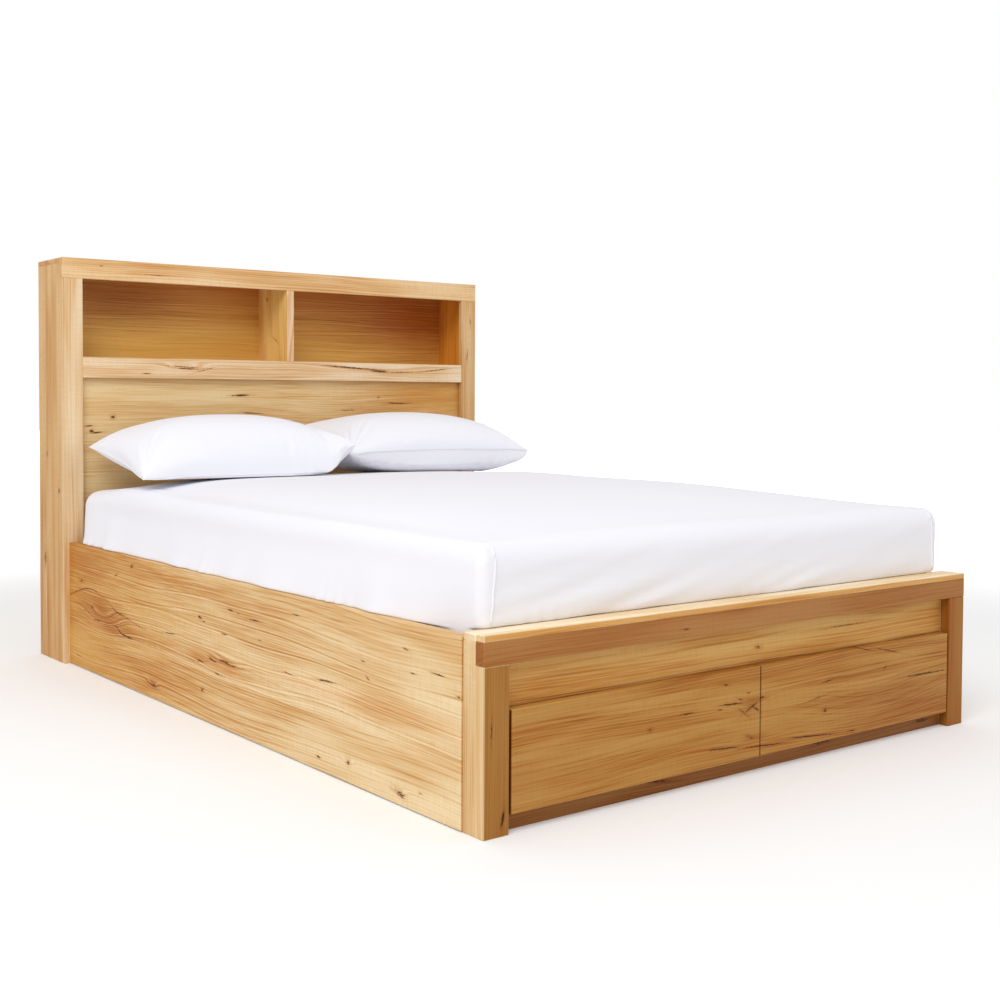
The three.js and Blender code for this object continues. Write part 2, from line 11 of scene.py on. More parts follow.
import bpy
import numpy as np
from mathutils import Matrix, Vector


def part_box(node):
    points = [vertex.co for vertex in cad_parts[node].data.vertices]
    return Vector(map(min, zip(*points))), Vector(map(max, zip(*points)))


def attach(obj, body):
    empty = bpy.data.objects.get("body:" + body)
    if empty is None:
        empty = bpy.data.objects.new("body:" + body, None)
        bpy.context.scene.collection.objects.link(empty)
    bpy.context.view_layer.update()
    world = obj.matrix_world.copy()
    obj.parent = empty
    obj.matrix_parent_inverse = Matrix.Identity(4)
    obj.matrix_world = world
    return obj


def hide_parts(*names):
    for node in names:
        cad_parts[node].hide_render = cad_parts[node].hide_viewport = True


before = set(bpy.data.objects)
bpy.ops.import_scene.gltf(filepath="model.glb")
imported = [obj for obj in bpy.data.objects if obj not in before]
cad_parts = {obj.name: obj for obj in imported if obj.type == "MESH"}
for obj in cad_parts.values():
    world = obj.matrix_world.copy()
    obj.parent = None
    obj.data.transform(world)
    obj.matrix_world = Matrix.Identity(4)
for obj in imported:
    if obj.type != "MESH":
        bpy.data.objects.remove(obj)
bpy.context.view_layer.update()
MM = 0.001
print("CAD nodes:", len(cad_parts))

# %% [markdown]
# The picture was taken from off the left foot corner, with a slightly long lens held
# nearly level. A camera could be placed by eye, but its place, heading and lens were
# solved from the long straight edges of the boards, which is exact. The small shift
# keeps the bed where the picture has it.

# %% Camera
EYE = (-2353.2, -3163.4, 845.6)
HEADING = 0.645834
LOOK_DOWN = 0.034572
ROLL = 0.004204
LENS_PIXELS = 1340.284
CENTRE_PIXEL = (461.36, 444.517)
PICTURE = 1000

forward = np.array([
    math.sin(HEADING) * math.cos(LOOK_DOWN),
    math.cos(HEADING) * math.cos(LOOK_DOWN),
    -math.sin(LOOK_DOWN),
])
level = np.array([math.cos(HEADING), -math.sin(HEADING), 0.0])
upright = np.cross(level, forward)
right = level * math.cos(ROLL) + upright * math.sin(ROLL)
up = upright * math.cos(ROLL) - level * math.sin(ROLL)

scene = bpy.context.scene
camera_data = bpy.data.cameras.new("camera")
camera_data.sensor_width = 36
camera_data.lens = LENS_PIXELS / PICTURE * camera_data.sensor_width
camera_data.shift_x = 0.5 - CENTRE_PIXEL[0] / PICTURE
camera_data.shift_y = CENTRE_PIXEL[1] / PICTURE - 0.5
camera = bpy.data.objects.new("camera", camera_data)
scene.collection.objects.link(camera)
pose = np.eye(4)
pose[:3, 0], pose[:3, 1], pose[:3, 2] = right, up, -forward
pose[:3, 3] = np.array(EYE) * MM
camera.matrix_world = Matrix(pose.tolist())
scene.camera = camera
scene.view_settings.view_transform = "Standard"
print("lens in mm:", round(camera_data.lens, 2))

# %% [markdown]
# Every finish is a small graph of shader nodes, and a graph is easier to read when each
# node takes one line. One helper adds a node, sets it up and joins its inputs. Colours
# are written as on a screen, and a function turns them to linear light for the shader.

# %% Small helpers for materials
MAIN_CHOICE = {"Math": "operation", "VectorMath": "operation", "MapRange": "interpolation_type",
               "TexNoise": "noise_dimensions", "TexWhiteNoise": "noise_dimensions",
               "TexWave": "bands_direction", "Mix": "blend_type"}


def linear(code):
    """A hex screen colour as linear light: c / 12.92 when dark, else ((c + 0.055) / 1.055) ^ 2.4."""
    screen = np.array([int(code[i:i + 2], 16) for i in (1, 3, 5)]) / 255
    return np.where(screen <= 0.04045, screen / 12.92, ((screen + 0.055) / 1.055) ** 2.4)


def rgba(light):
    """Linear light as the four numbers that a colour socket takes."""
    return (*[float(c) for c in light], 1.0)


def add(tree, kind, inputs=(), out=0, **settings):
    """Adds a node with its settings, fills or links its inputs, and returns one output. A second
    word in kind is the node's main choice, such as what a Math node works out."""
    kind, *choice = kind.split()
    node = tree.nodes.new("ShaderNode" + kind)
    if choice:
        settings[MAIN_CHOICE[kind]] = choice[0]
    for name, value in settings.items():
        setattr(node, name, value)
    for key, value in inputs.items() if isinstance(inputs, dict) else enumerate(inputs):
        if isinstance(value, bpy.types.NodeSocket):
            tree.links.new(value, node.inputs[key])
        elif value is not None:
            node.inputs[key].default_value = value
    return node.outputs[out] if node.outputs else None


def new_material(name):
    """An empty material and its node tree."""
    material = bpy.data.materials.new(name)
    material.use_nodes = True
    material.node_tree.nodes.clear()
    return material, material.node_tree


print("a mid grey in linear light:", linear("#808080").round(3))

# %% [markdown]
# The light is a plain studio: a soft even sky, one very large lamp high on the left
# towards the foot, and a weak fill from the right. A picture of a studio could light
# the bed too, but two lamps are easier to balance. The side that faces the lamp is the
# brightest upright face, the foot is a step darker, and the top of the sheet is the
# brightest of all without losing its folds. To the camera the sky is simply white.

# %% Studio light
SKY = 0.72
KEY_WATTS = 222
FILL_WATTS = 12

world = bpy.data.worlds.new("studio")
scene.world = world
world.use_nodes = True
sky = world.node_tree
sky.nodes.clear()
seen = add(sky, "LightPath", out="Is Camera Ray")
glossy = add(sky, "LightPath", out="Is Glossy Ray")
shown = add(sky, "Math MAXIMUM", [seen, glossy])
strength = add(sky, "Mix", [shown, None, SKY, 1.0])
glow = add(sky, "Background", [(1, 1, 1, 1), strength])
add(sky, "OutputWorld", [glow])


def soft_lamp(name, watts, size, place, aim):
    """A square lamp of a given size in metres, at a place, turned towards a point."""
    data = bpy.data.lights.new(name, "AREA")
    data.energy = watts
    data.size = size
    lamp = bpy.data.objects.new(name, data)
    scene.collection.objects.link(lamp)
    lamp.location = place
    away = np.array(place) - np.array(aim)
    lamp.rotation_euler = (
        math.acos(away[2] / np.linalg.norm(away)), 0, math.atan2(away[1], away[0]) + math.pi / 2)


soft_lamp("key", KEY_WATTS, 3.6, (-4.4, -3.4, 5.6), (0, 0.1, 0.4))
soft_lamp("fill", FILL_WATTS, 3.0, (4.5, -4.0, 3.0), (0, 0, 0.5))
print("lamps:", [lamp.name for lamp in bpy.data.lights])

# %% [markdown]
# The floor is plain and pale. It has to look white and still keep the soft shadow under
# the bed, so it is a matt grey-white that the lamps light, and the camera also sees a
# little glow on it that lifts the open floor to white. It fades to pure white far off,
# so no horizon shows.

# %% Floor
FLOOR_HALF = 30.0
FADE_FROM, FADE_TO, NEAR_GLOW = 2.2, 6.0, 0.12
floor_mesh = bpy.data.meshes.new("floor")
floor_corners = FLOOR_HALF * np.array([(-1, -1, 0), (1, -1, 0), (1, 1, 0), (-1, 1, 0)])
floor_mesh.from_pydata(floor_corners.tolist(), [], [(0, 1, 2, 3)])
floor = bpy.data.objects.new("floor", floor_mesh)
scene.collection.objects.link(floor)
floor_paint, paint = new_material("matt white floor")
place = add(paint, "TexCoord", out="Object")
reach = add(paint, "VectorMath LENGTH", [place], out="Value")
far = add(paint, "MapRange SMOOTHSTEP", [reach, FADE_FROM, FADE_TO, NEAR_GLOW, 1.0])
seen = add(paint, "LightPath", out="Is Camera Ray")
lift = add(paint, "Math MULTIPLY", [far, seen])
matt = add(paint, "BsdfDiffuse", [(0.86, 0.86, 0.86, 1)])
shine = add(paint, "Emission", [(1, 1, 1, 1), lift])
both = add(paint, "AddShader", [matt, shine])
add(paint, "OutputMaterial", [both])
floor_mesh.materials.append(floor_paint)
print("floor side in m:", 2 * FLOOR_HALF)

# %% [markdown]
# The timber is a pale eucalypt hardwood, sawn into staves, glued edge to edge, planed
# and finished with a clear satin oil. A flat picture of wood can't follow a board round
# its edges, so it is a solid pattern, worked out in each board's own axes. Single marks
# on a board are ovals in those axes.

# %% Timber helpers
WITHOUT_DEPTH = 1e3


def dress(material, *names):
    """Gives CAD nodes this material and leaves their shapes alone."""
    for name in names:
        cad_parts[name].material_slots[0].material = material


def oval(tree, board, along, across, half_long, half_wide, angle=0, deep=0):
    """Distance from a mark's middle in the board's own axes, which is 1 on the mark's outline."""
    inside = add(tree, "Mapping", [board, (along * MM, across * MM, -deep), (0, 0, math.radians(angle)),
                                   (half_long * MM, half_wide * MM, WITHOUT_DEPTH)], vector_type="TEXTURE")
    return add(tree, "VectorMath LENGTH", [inside], out="Value")


def grain(tree, place, stretch, detail, **more):
    """Noise of place * stretch, so that its grains are long and thin."""
    longer = add(tree, "VectorMath MULTIPLY", [place, stretch])
    return add(tree, "TexNoise", {"Vector": longer, "Scale": 1.0, "Detail": detail, **more})


# %% [markdown]
# Growth rings are cut at a slant: a point's distance from a wandering pith line picks
# its ring, so faces, edges and ends agree. Short fibres run along the board and a faint
# ripple across it. Each stave comes from another place in the tree, so the colour steps
# at each glue joint.

# %% Rings and fibres
# Rings are 5 mm apart. The patterns are in grains per metre, along, across and deep: real
# fibres are too fine to show, so they are drawn about 3 mm wide and 140 mm long.
STAVE_SPREAD, PITH_SWAY, RING_STRETCH = (9.0, 0.09, 0.05), (1.15, 1.5, 1.5), (0.008, 1, 1)
RING = 5.0
FIBRES, CLOUDS, RIPPLES = (7, 300, 300), (2.2, 15, 15), (160, 24, 24)
RIPPLE_PATCH = (0.45, 0.65, 0.0, 1.0)
RING_SHARE, FIBRE_SHARE, CLOUD_SHARE, RIPPLE_SHARE = 0.95, 0.55, 0.80, 0.45
MIDDLE_TINT = 0.54
RAMP = [(0.0, (0.60, 0.31, 0.13)), (0.34, (0.81, 0.63, 0.43)), (0.54, (0.90, 0.81, 0.70)), (1.0, (1, 1, 1))]
RAMP_MEAN = np.array((0.85, 0.79, 0.70))


def sawn_staves(tree, board, height, staves, seed):
    """A random colour for each stave, and the place in the tree that each stave was cut from."""
    stave = float(seed)
    for joint in staves:
        above = add(tree, "Math GREATER_THAN", [height, joint * MM])
        stave = add(tree, "Math ADD", [above, stave])
    chance = add(tree, "TexWhiteNoise 1D", {"W": stave}, out="Color")
    return chance, add(tree, "VectorMath MULTIPLY_ADD", [chance, STAVE_SPREAD, board])


def growth_rings(tree, board, stick, pith, wander, knots):
    """One-way noise of (distance from a wandering pith line + a hump at each knot) / ring."""
    slow = add(tree, "VectorMath MULTIPLY", [stick, PITH_SWAY])
    drift = add(tree, "TexNoise", {"Vector": slow, "Scale": 1.0, "Detail": 1.0}, out="Color")
    sway = (0.0, 2 * wander[0] * MM, 2 * wander[1] * MM)
    wandering = add(tree, "VectorMath MULTIPLY_ADD", [drift, sway, stick])
    centre = (0.0, -(pith[0] + wander[0]) * MM, -(pith[1] + wander[1]) * MM)
    section = add(tree, "VectorMath MULTIPLY_ADD", [wandering, RING_STRETCH, centre])
    radius = add(tree, "VectorMath LENGTH", [section], out="Value")
    for *mark, lift in knots:
        away = oval(tree, board, *mark)
        hump = add(tree, "MapRange SMOOTHERSTEP", [away, 0.0, 1.0, lift * MM, 0.0])
        radius = add(tree, "Math ADD", [radius, hump])
    count = add(tree, "Math MULTIPLY", [radius, 1 / (RING * MM)])
    return add(tree, "TexNoise 1D", {"W": count, "Scale": 1.0, "Detail": 2.6, "Roughness": 0.6})


def figure(tree, stick, rings, vivid, fine):
    """Tint = middle + shares of rings, fibres, clouds and a ripple that shows only in patches,
    less the mean of each."""
    fibres = grain(tree, stick, FIBRES, 2.4, Roughness=0.6)
    clouds = grain(tree, stick, CLOUDS, 1.0)
    ripple = grain(tree, stick, RIPPLES, 1.0)
    patch = add(tree, "MapRange", [clouds, *RIPPLE_PATCH])
    ripple = add(tree, "Math MULTIPLY", [ripple, patch])
    shares = [share * vivid for share in (RING_SHARE, FIBRE_SHARE * fine, CLOUD_SHARE, RIPPLE_SHARE)]
    tint = MIDDLE_TINT - sum(shares[:3]) / 2 - shares[3] / 5
    for pattern, share in zip((rings, fibres, clouds, ripple), shares):
        tint = add(tree, "Math MULTIPLY_ADD", [pattern, share, tint])
    return fibres, tint


def ramp_colour(tree, tint, tone):
    """The tint as a colour from brown latewood to pale earlywood, scaled to the board's tone."""
    ramp = add(tree, "ValToRGB", [tint])
    stops = ramp.node.color_ramp.elements
    for i, (spot, light) in enumerate(RAMP):
        stop = stops[i] if i in (0, 1) else stops.new(spot)
        stop.position, stop.color = spot, rgba(light)
    tone = rgba(np.minimum(linear(tone) / RAMP_MEAN, 1))
    return add(tree, "Mix MULTIPLY", {0: 1.0, 6: ramp, 7: tone}, out=2, data_type="RGBA")


# %% [markdown]
# Marks are laid over the pattern: shades with ragged rims, which are the wood's own
# tints on most boards and painted shade on some, and the dark broken lines of gum
# veins. A scatter of random marks looks random, so each mark has its own place and
# size. Straight veins are long thin ovals, and the few curved ones are ribbons.

# %% Shades and veins
VEIN = "#54270a"
HALO = (0.80, 0.60, 0.38)
NO_VEIN, WEAKEST, BREAKS, FRAY = 9.0, 1.4, (90, 300, 300), 1.5
HALO_BAND, GUM_BAND = (1.3, 3.2, 0.55, 0.0), (1.25, 1.85, 0.94, 0.0)


def shade(tree, board, colour, shades, ragged):
    """Multiplies the colour by each shade's light, from full in its middle to none at its ragged rim."""
    for *mark, light, strength in shades:
        away = add(tree, "Math ADD", [oval(tree, board, *mark), ragged])
        amount = add(tree, "MapRange SMOOTHSTEP", [away, 0.0, 1.0, strength, 0.0])
        shaded = {0: amount, 6: colour, 7: rgba(light)}
        colour = add(tree, "Mix MULTIPLY", shaded, out=2, data_type="RGBA")
    return colour


def nearest_vein(tree, board, veins):
    """The least distance to any straight vein. A vein's last number makes it fainter."""
    nearest = NO_VEIN
    for *mark, faint in veins:
        away = oval(tree, board, *mark, deep=faint * WITHOUT_DEPTH)
        nearest = add(tree, "Math MINIMUM", [away, nearest])
    return nearest


def nearest_ribbon(tree, along, across, points, half_wide, nearest):
    """Distance to a curved vein: |height - curve| / half width, more where its force is low."""
    ends, lows = [p[0] for p in points], [p[1] for p in points]
    low, high = min(lows) - 10, max(lows) + 10
    share = add(tree, "MapRange", [along, ends[0] * MM, ends[-1] * MM, 0.0, 1.0])
    height = add(tree, "MapRange", [across, low * MM, high * MM, 0.0, 1.0], clamp=False)
    path = add(tree, "FloatCurve", [1.0, share])
    force = add(tree, "FloatCurve", [1.0, share])
    for curve, values in ((path, [(z - low) / (high - low) for z in lows]), (force, [p[2] for p in points])):
        bends = curve.node.mapping.curves[0].points
        bends[0].location, bends[-1].location = (0.0, values[0]), (1.0, values[-1])
        for end, value in zip(ends[1:-1], values[1:-1]):
            bends.new((end - ends[0]) / (ends[-1] - ends[0]), value)
        curve.node.mapping.update()
    off = add(tree, "Math SUBTRACT", [height, path])
    off = add(tree, "Math MULTIPLY", [off, (high - low) / half_wide])
    off = add(tree, "Math ABSOLUTE", [off])
    weak = add(tree, "Math MULTIPLY_ADD", [force, -WEAKEST, WEAKEST])
    off = add(tree, "Math ADD", [off, weak])
    return add(tree, "Math MINIMUM", [off, nearest])


def stain(tree, board, colour, nearest):
    """Breaks the veins up with noise, and lays a warm halo and then the dark gum over the colour."""
    broken = grain(tree, board, BREAKS, 1.0)
    frayed = add(tree, "Math MULTIPLY_ADD", [broken, FRAY, nearest])
    halo = add(tree, "MapRange SMOOTHSTEP", [frayed, *HALO_BAND])
    dark = add(tree, "MapRange SMOOTHSTEP", [frayed, *GUM_BAND])
    warm = add(tree, "Mix MULTIPLY", {0: halo, 6: colour, 7: rgba(HALO)}, out=2, data_type="RGBA")
    gum = {0: dark, 6: warm, 7: rgba(linear(VEIN))}
    return add(tree, "Mix", gum, out=2, data_type="RGBA"), dark


# %% [markdown]
# One function puts a material together from these, and each later call dresses one
# board, or a pair that is cut to match, so no two boards look alike. Oiled hardwood is
# satin: its roughness is about a half, and less on the pale earlywood. A board with very
# many veins leaves them out of its relief, because a shader can only grow so big.

# %% Solid timber
PITH = (-140, -60)
STAVE_TINTS = (0.93, 0.90, 0.86), (1, 1, 1)
RAGGED, OTHER_FACES = 1.1, 3.0
MANY_VEINS, VEIN_SINK, RELIEF = 30, -1.2, 0.3
END_GRAIN, ON_END, PAINTED_FACE_BAND = (0.86, 0.74, 0.60), (0.75, 0.9, 0.0, 1.0), (0.6, 0.85, 0.0, 1.0)
DARK_ROUGHNESS, PALE_ROUGHNESS = 0.54, 0.41


def timber(nodes, name, tone, axes, seed, staves=(), wander=(34, 16), knots=(), veins=(), ribbons=(),
           shades=(), shaded=(), faces=(), vivid=1.0, fine=1.0):
    """Dresses CAD boards in solid timber: colour = tone * ramp(rings + fibres + clouds + ripple),
    then shades (wood tints or painted shade), veins, end grain and painted light or shade on
    single faces. axes orders x, y, z as along, across and deep, and marks are in mm in that order;
    the pith is measured from the first board's lower edge and mid depth. shaded limits the shades to the face
    that looks that way."""
    material, tree = new_material(name)
    dress(material, *nodes)
    low, high = np.array(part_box(nodes[0])) / MM
    pith = (low[axes[1]] + PITH[0], (low[axes[2]] + high[axes[2]]) / 2 + PITH[1])
    parts = add(tree, "SeparateXYZ", [add(tree, "TexCoord", out="Object")]).node.outputs
    board = add(tree, "CombineXYZ", [parts[a] for a in axes])
    normal = add(tree, "TexCoord", out="Normal")

    chance, stick = sawn_staves(tree, board, parts[axes[1]], staves, seed)
    rings = growth_rings(tree, board, stick, pith, wander, knots)
    fibres, tint = figure(tree, stick, rings, vivid, fine)
    colour = ramp_colour(tree, tint, tone)
    if staves:
        warm = {0: chance, 6: rgba(STAVE_TINTS[0]), 7: rgba(STAVE_TINTS[1])}
        warm = add(tree, "Mix", warm, out=2, data_type="RGBA")
        colour = add(tree, "Mix MULTIPLY", {0: 1.0, 6: colour, 7: warm}, out=2, data_type="RGBA")

    ragged = add(tree, "Math ADD", [fibres, rings])
    ragged = add(tree, "Math MULTIPLY_ADD", [ragged, RAGGED * vivid, -RAGGED * vivid])
    if shaded:
        there = add(tree, "VectorMath DOT_PRODUCT", [normal, shaded], out="Value")
        ragged = add(tree, "Math MULTIPLY_ADD", [there, -OTHER_FACES, ragged])
        ragged = add(tree, "Math ADD", [ragged, OTHER_FACES])
    colour = shade(tree, board, colour, shades, ragged)

    nearest = nearest_vein(tree, board, veins)
    for points, half_wide in ribbons:
        nearest = nearest_ribbon(tree, parts[axes[0]], parts[axes[1]], points, half_wide, nearest)
    relief = add(tree, "Math MULTIPLY_ADD", [fibres, FIBRE_SHARE, rings])
    if veins or ribbons:
        colour, dark = stain(tree, board, colour, nearest)
    if 0 < len(veins) < MANY_VEINS:
        relief = add(tree, "Math MULTIPLY_ADD", [dark, VEIN_SINK, relief])

    lengthwise = tuple(1.0 if i == axes[0] else 0.0 for i in range(3))
    on_end = add(tree, "VectorMath DOT_PRODUCT", [normal, lengthwise], out="Value")
    on_end = add(tree, "MapRange", [add(tree, "Math ABSOLUTE", [on_end]), *ON_END])
    colour = add(tree, "Mix MULTIPLY", {0: on_end, 6: colour, 7: rgba(END_GRAIN)}, out=2, data_type="RGBA")
    # Painted light or shade on the faces that look one way.
    for direction, light in faces:
        there = add(tree, "VectorMath DOT_PRODUCT", [normal, direction], out="Value")
        there = add(tree, "MapRange", [there, *PAINTED_FACE_BAND])
        colour = add(tree, "Mix MULTIPLY", {0: there, 6: colour, 7: rgba(light)}, out=2, data_type="RGBA")

    bump = add(tree, "Bump", {"Strength": 0.3, "Distance": RELIEF * MM, "Height": relief})
    gloss = add(tree, "MapRange", [tint, 0.2, 0.8, DARK_ROUGHNESS, PALE_ROUGHNESS])
    surface = add(tree, "BsdfPrincipled", {"Base Color": colour, "Roughness": gloss, "Normal": bump,
                                           "IOR": 1.5, "Specular IOR Level": 0.2})
    add(tree, "OutputMaterial", [surface])


def hardwood(nodes, name, tone, axes, seed, **marks):
    """A board, or a pair of boards, of the visible hardwood."""
    timber([nodes] if isinstance(nodes, str) else nodes, "satin hardwood " + name, tone, axes, seed, **marks)


ALONG_BED, ACROSS_BED, UPRIGHT_X, UPRIGHT_Y = (1, 2, 0), (0, 2, 1), (2, 0, 1), (2, 1, 0)
LYING = (0, 1, 2)
TO_LEFT, TO_RIGHT, TO_FOOT, TO_HEAD = (-1, 0, 0), (1, 0, 0), (0, -1, 0), (0, 1, 0)

# %% [markdown]
# The left side rail is what the eye meets first: three staves with long quiet grain, a
# redder heart with two swirls low on the middle stave, a long curved vein and many
# short ones. A noise could scatter them, but these are what makes the board this board,
# so they are placed one by one. A vein is: along, across, half length, half width,
# angle, faintness. A knot ends with its lift, a shade with its light and strength, and
# a ribbon is points with a force each.

# %% Side rails
rail_veins = [
    (31, 270, 11, 4, 0, 0.1), (10, 262, 8, 2, 0, 0.4), (-141, 311, 12, 2.6, 0, 0.1),
    (-184, 308, 7, 2, 0, 0.3), (-266, 302, 28, 2, -2, 0.2), (-293, 258, 7, 2, 0, 0.5),
    (-107, 245, 18, 1.8, 0, 0.35), (-603, 211, 48, 2.2, -3, 0.1), (-465, 342, 30, 1.6, 0, 0.5),
    (-752, 280, 8, 2.2, 0, 0.35), (-914, 331, 10, 2, 8, 0.4), (-772, 246, 8, 2.4, 30, 0.5),
    (-941, 285, 10, 1.6, 0, 0.4), (-1028, 297, 28, 2, 2, 0.3), (-1096, 264, 7, 2.2, 0, 0.3),
    (328, 41, 27, 8, 2, 0.62), (18, 81, 9, 6, 0, 0.66), (-569, 33, 9, 2.4, 0, 0.2),
    (-694, 47, 9, 8, 0, 0.6), (-893, 27, 22, 7, 12, 0.58), (-968, 45, 6, 2, 0, 0.5),
    (470, 359, 12, 6, -25, 0.68), (585, 321, 16, 3, -20, 0.66), (855, 274, 22, 6, 0, 0.7),
    (828, 187, 9, 2, 8, 0.4), (797, 183, 9, 2, 0, 0.5), (767, 203, 9, 4, 15, 0.55),
    (725, 168, 28, 2.2, -3, 0.35), (30, 156, 24, 2.4, 4, 0.2), (-40, 169, 22, 2.6, 8, 0.15),
    (-108, 175, 42, 3.0, 4, 0.05), (-150, 172, 26, 2.2, -2, 0.3), (-70, 137, 26, 3, 6, 0.66),
    (210, 202, 46, 1.6, -4, 0.45), (880, 37, 20, 1.6, 0, 0.55), (-430, 200, 30, 1.6, 4, 0.6),
]
rail_arc = [
    (370, 188, 0.0), (400, 190, 0.5), (443, 195, 0.5), (510, 204, 0.45), (585, 213, 0.8),
    (640, 232, 0.45), (700, 246, 0.5), (780, 257, 0.75), (880, 240, 0.7), (956, 217, 0.55),
]
rail_vein = [
    (-740, 155, 0.0), (-690, 155, 0.3), (-394, 162, 0.25), (-165, 173, 0.35), (-60, 171, 0.3),
    (72, 151, 0.5), (157, 156, 0.2), (300, 149, 0.3), (457, 149, 0.4), (505, 150, 1.0),
    (565, 159, 0.95), (600, 171, 0.5), (650, 168, 0.3), (700, 152, 0.2), (720, 150, 0.0),
]
rail_knots = [
    (690, 172, 260, 62, 26), (-110, 160, 230, 46, 18), (-640, 300, 500, 120, 10),
    (328, 41, 70, 26, 10), (-893, 27, 60, 22, 9), (-694, 47, 40, 20, 6),
]
# The first, broadest shade darkens and reddens the rail towards the head: partly the wood's redder heart,
# partly painted shade for light falling off away from the lamp. The rest are the wood's own tints.
rail_tints_and_painted_shade = [
    (1000, 190, 1900, 1900, (0.80, 0.54, 0.18), 1.0), (720, 190, 330, 74, (0.82, 0.66, 0.50), 1.0),
    (-60, 160, 330, 36, (0.96, 0.86, 0.76), 1.0), (-800, 190, 620, 46, (0.99, 0.90, 0.84), 1.0),
    (620, 150, 110, 26, (0.86, 0.70, 0.54), 0.9), (-130, 160, 90, 22, (0.92, 0.74, 0.56), 0.9),
    (328, 41, 60, 20, (0.84, 0.68, 0.50), 0.9),
]
right_rail_veins = [
    (420, 240, 40, 2.4, 3, 0.1), (300, 236, 22, 2, 0, 0.3), (-260, 90, 30, 2.4, -4, 0.2),
    (-620, 300, 46, 2.0, 2, 0.2), (760, 130, 10, 5, 0, 0.4),
]
hardwood("side_rail_left", "left rail", "#e2c697", ALONG_BED, 3, staves=(128, 256), wander=(46, 20),
         knots=rail_knots, veins=rail_veins, ribbons=[(rail_arc, 3.0), (rail_vein, 3.0)], shades=rail_tints_and_painted_shade)
hardwood("side_rail_right", "right rail", "#dfb378", ALONG_BED, 11, staves=(116, 262),
         veins=right_rail_veins, knots=[(-300, 190, 260, 60, 24), (560, 320, 200, 50, 16)])
print("left rail's veins:", len(rail_veins))

# %% [markdown]
# The foot is a face frame with a lighter strip along its top, a recessed panel and two
# drawer fronts cut from one wide board. Each front could have a material of its own,
# but one dresses both, so their grain and one long vein run on from drawer to drawer,
# as a maker keeps such fronts matched. Faces that look to the foot are turned from the
# lamp, and their darker tones are partly the wood's own and partly painted shade. A
# painted shadow darkens the panel where it meets the fronts' top edge.

# %% Footboard
front_veins = [
    (-239, 168, 17, 2.0, 0, 0.1), (-96, 170, 36, 2.4, -3, 0.0), (-70, 177, 8, 2, -20, 0.2),
    (-136, 162, 8, 1.8, 0, 0.3), (-116, 215, 12, 1.8, -6, 0.4), (-41, 188, 7, 1.8, 0, 0.4),
    (6, 172, 9, 2, 0, 0.1), (-30, 155, 30, 3, 24, 0.5), (-58, 146, 20, 3, -32, 0.55),
    (-14, 148, 14, 3, -28, 0.4), (-118, 74, 54, 2.0, -4, 0.1), (10, 61, 78, 2.0, -4, 0.15),
    (175, 58, 96, 2.2, -5, 0.0), (332, 48, 14, 1.8, -4, 0.35), (381, 240, 36, 1.5, -12, 0.3),
    (472, 227, 60, 1.5, -13, 0.3), (241, 180, 24, 2.0, 5, 0.1), (462, 186, 7, 2.4, 30, 0.4),
    (200, 144, 50, 1.4, 7, 0.6), (230, 112, 8, 6, 0, 0.6), (631, 151, 96, 2.2, -1, 0.0),
    (-349, 150, 9, 5, 0, 0.68), (-35, 88, 16, 4, -20, 0.68),
]
front_shades = [
    (-35, 157, 52, 20, (0.74, 0.58, 0.42), 0.9), (-20, 86, 80, 16, (0.84, 0.66, 0.5), 0.9),
    (-420, 90, 420, 60, (1.0, 1.0, 0.94), 1.0), (520, 100, 380, 110, (0.86, 0.74, 0.66), 1.0),
]
front_knots = [(-35, 158, 130, 34, 14), (420, 120, 420, 110, 30), (-20, 80, 170, 26, 8)]
plinth_veins = [
    (-320, 29, 66, 3.4, -9, 0.15), (-250, 36, 20, 3, 0, 0.3), (250, 27, 40, 5, 0, 0.5),
    (655, 22, 34, 6, 0, 0.5),
]
# Their tone is darker than the rail's, partly the wood's own and partly painted shade for faces turned from
# the lamp. Their left end faces are painted nearly black: painted shade for the shadowed gap beside each
# front.
hardwood(["left_drawer_front", "right_drawer_front"], "drawer fronts", "#b58440", ACROSS_BED, 21,
         staves=(140, 218), knots=front_knots, veins=front_veins, shades=front_shades,
         faces=[(TO_LEFT, (0.36, 0.24, 0.16))], fine=1.8)
# The panel's one shade is a painted shadow along its lower edge, in the recess over the drawer fronts.
hardwood("footboard_panel", "footboard panel", "#d0a15a", ACROSS_BED, 31, staves=(300,), fine=1.5,
         veins=[(20, 281, 12, 6, 0, 0.68), (340, 300, 90, 1.5, 0, 0.6)],
         shades=[(0, 243, 3000, 9, (0.50, 0.34, 0.22), 0.95)])
# Fascia and plinth: darker tones, partly the wood's own and partly painted shade for faces turned from the
# lamp.
hardwood("footboard_fascia", "fascia", "#a6713b", ACROSS_BED, 37, vivid=0.8, fine=1.5,
         veins=[(-246, 352, 12, 2.2, 0, 0.5)])
hardwood("footboard_plinth", "plinth", "#94622f", ACROSS_BED, 41, veins=plinth_veins)
# Its front face is painted darker than its side: painted shade for the face turned from the lamp.
hardwood("footboard_face_post_left", "left face post", "#dec396", UPRIGHT_X, 43, vivid=0.6,
         faces=[(TO_FOOT, (0.50, 0.31, 0.11))],
         veins=[(34, -748, 22, 4, 10, 0.4), (210, -776, 30, 2, 2, 0.6)])
# A darker tone than the left face post, partly the wood's own and partly painted shade for its face turned
# from the lamp.
hardwood("footboard_face_post_right", "right face post", "#9e6727", UPRIGHT_X, 47, vivid=0.7)
# Its front face is painted darker than its top: painted shade for the face turned from the lamp.
hardwood("footboard_top_strip", "top strip", "#fadab3", LYING, 53, faces=[(TO_FOOT, (0.75, 0.48, 0.22))],
         shades=[(350, -1137, 40, 8, (0.92, 0.80, 0.66), 0.8)])
hardwood("footboard_inner_cap", "inner cap", "#f0dcbc", LYING, 59)
hardwood(["footboard_inner_post_left", "footboard_inner_post_right"], "inner posts", "#d6b483", UPRIGHT_Y, 61)
print("drawer fronts' veins:", len(front_veins))
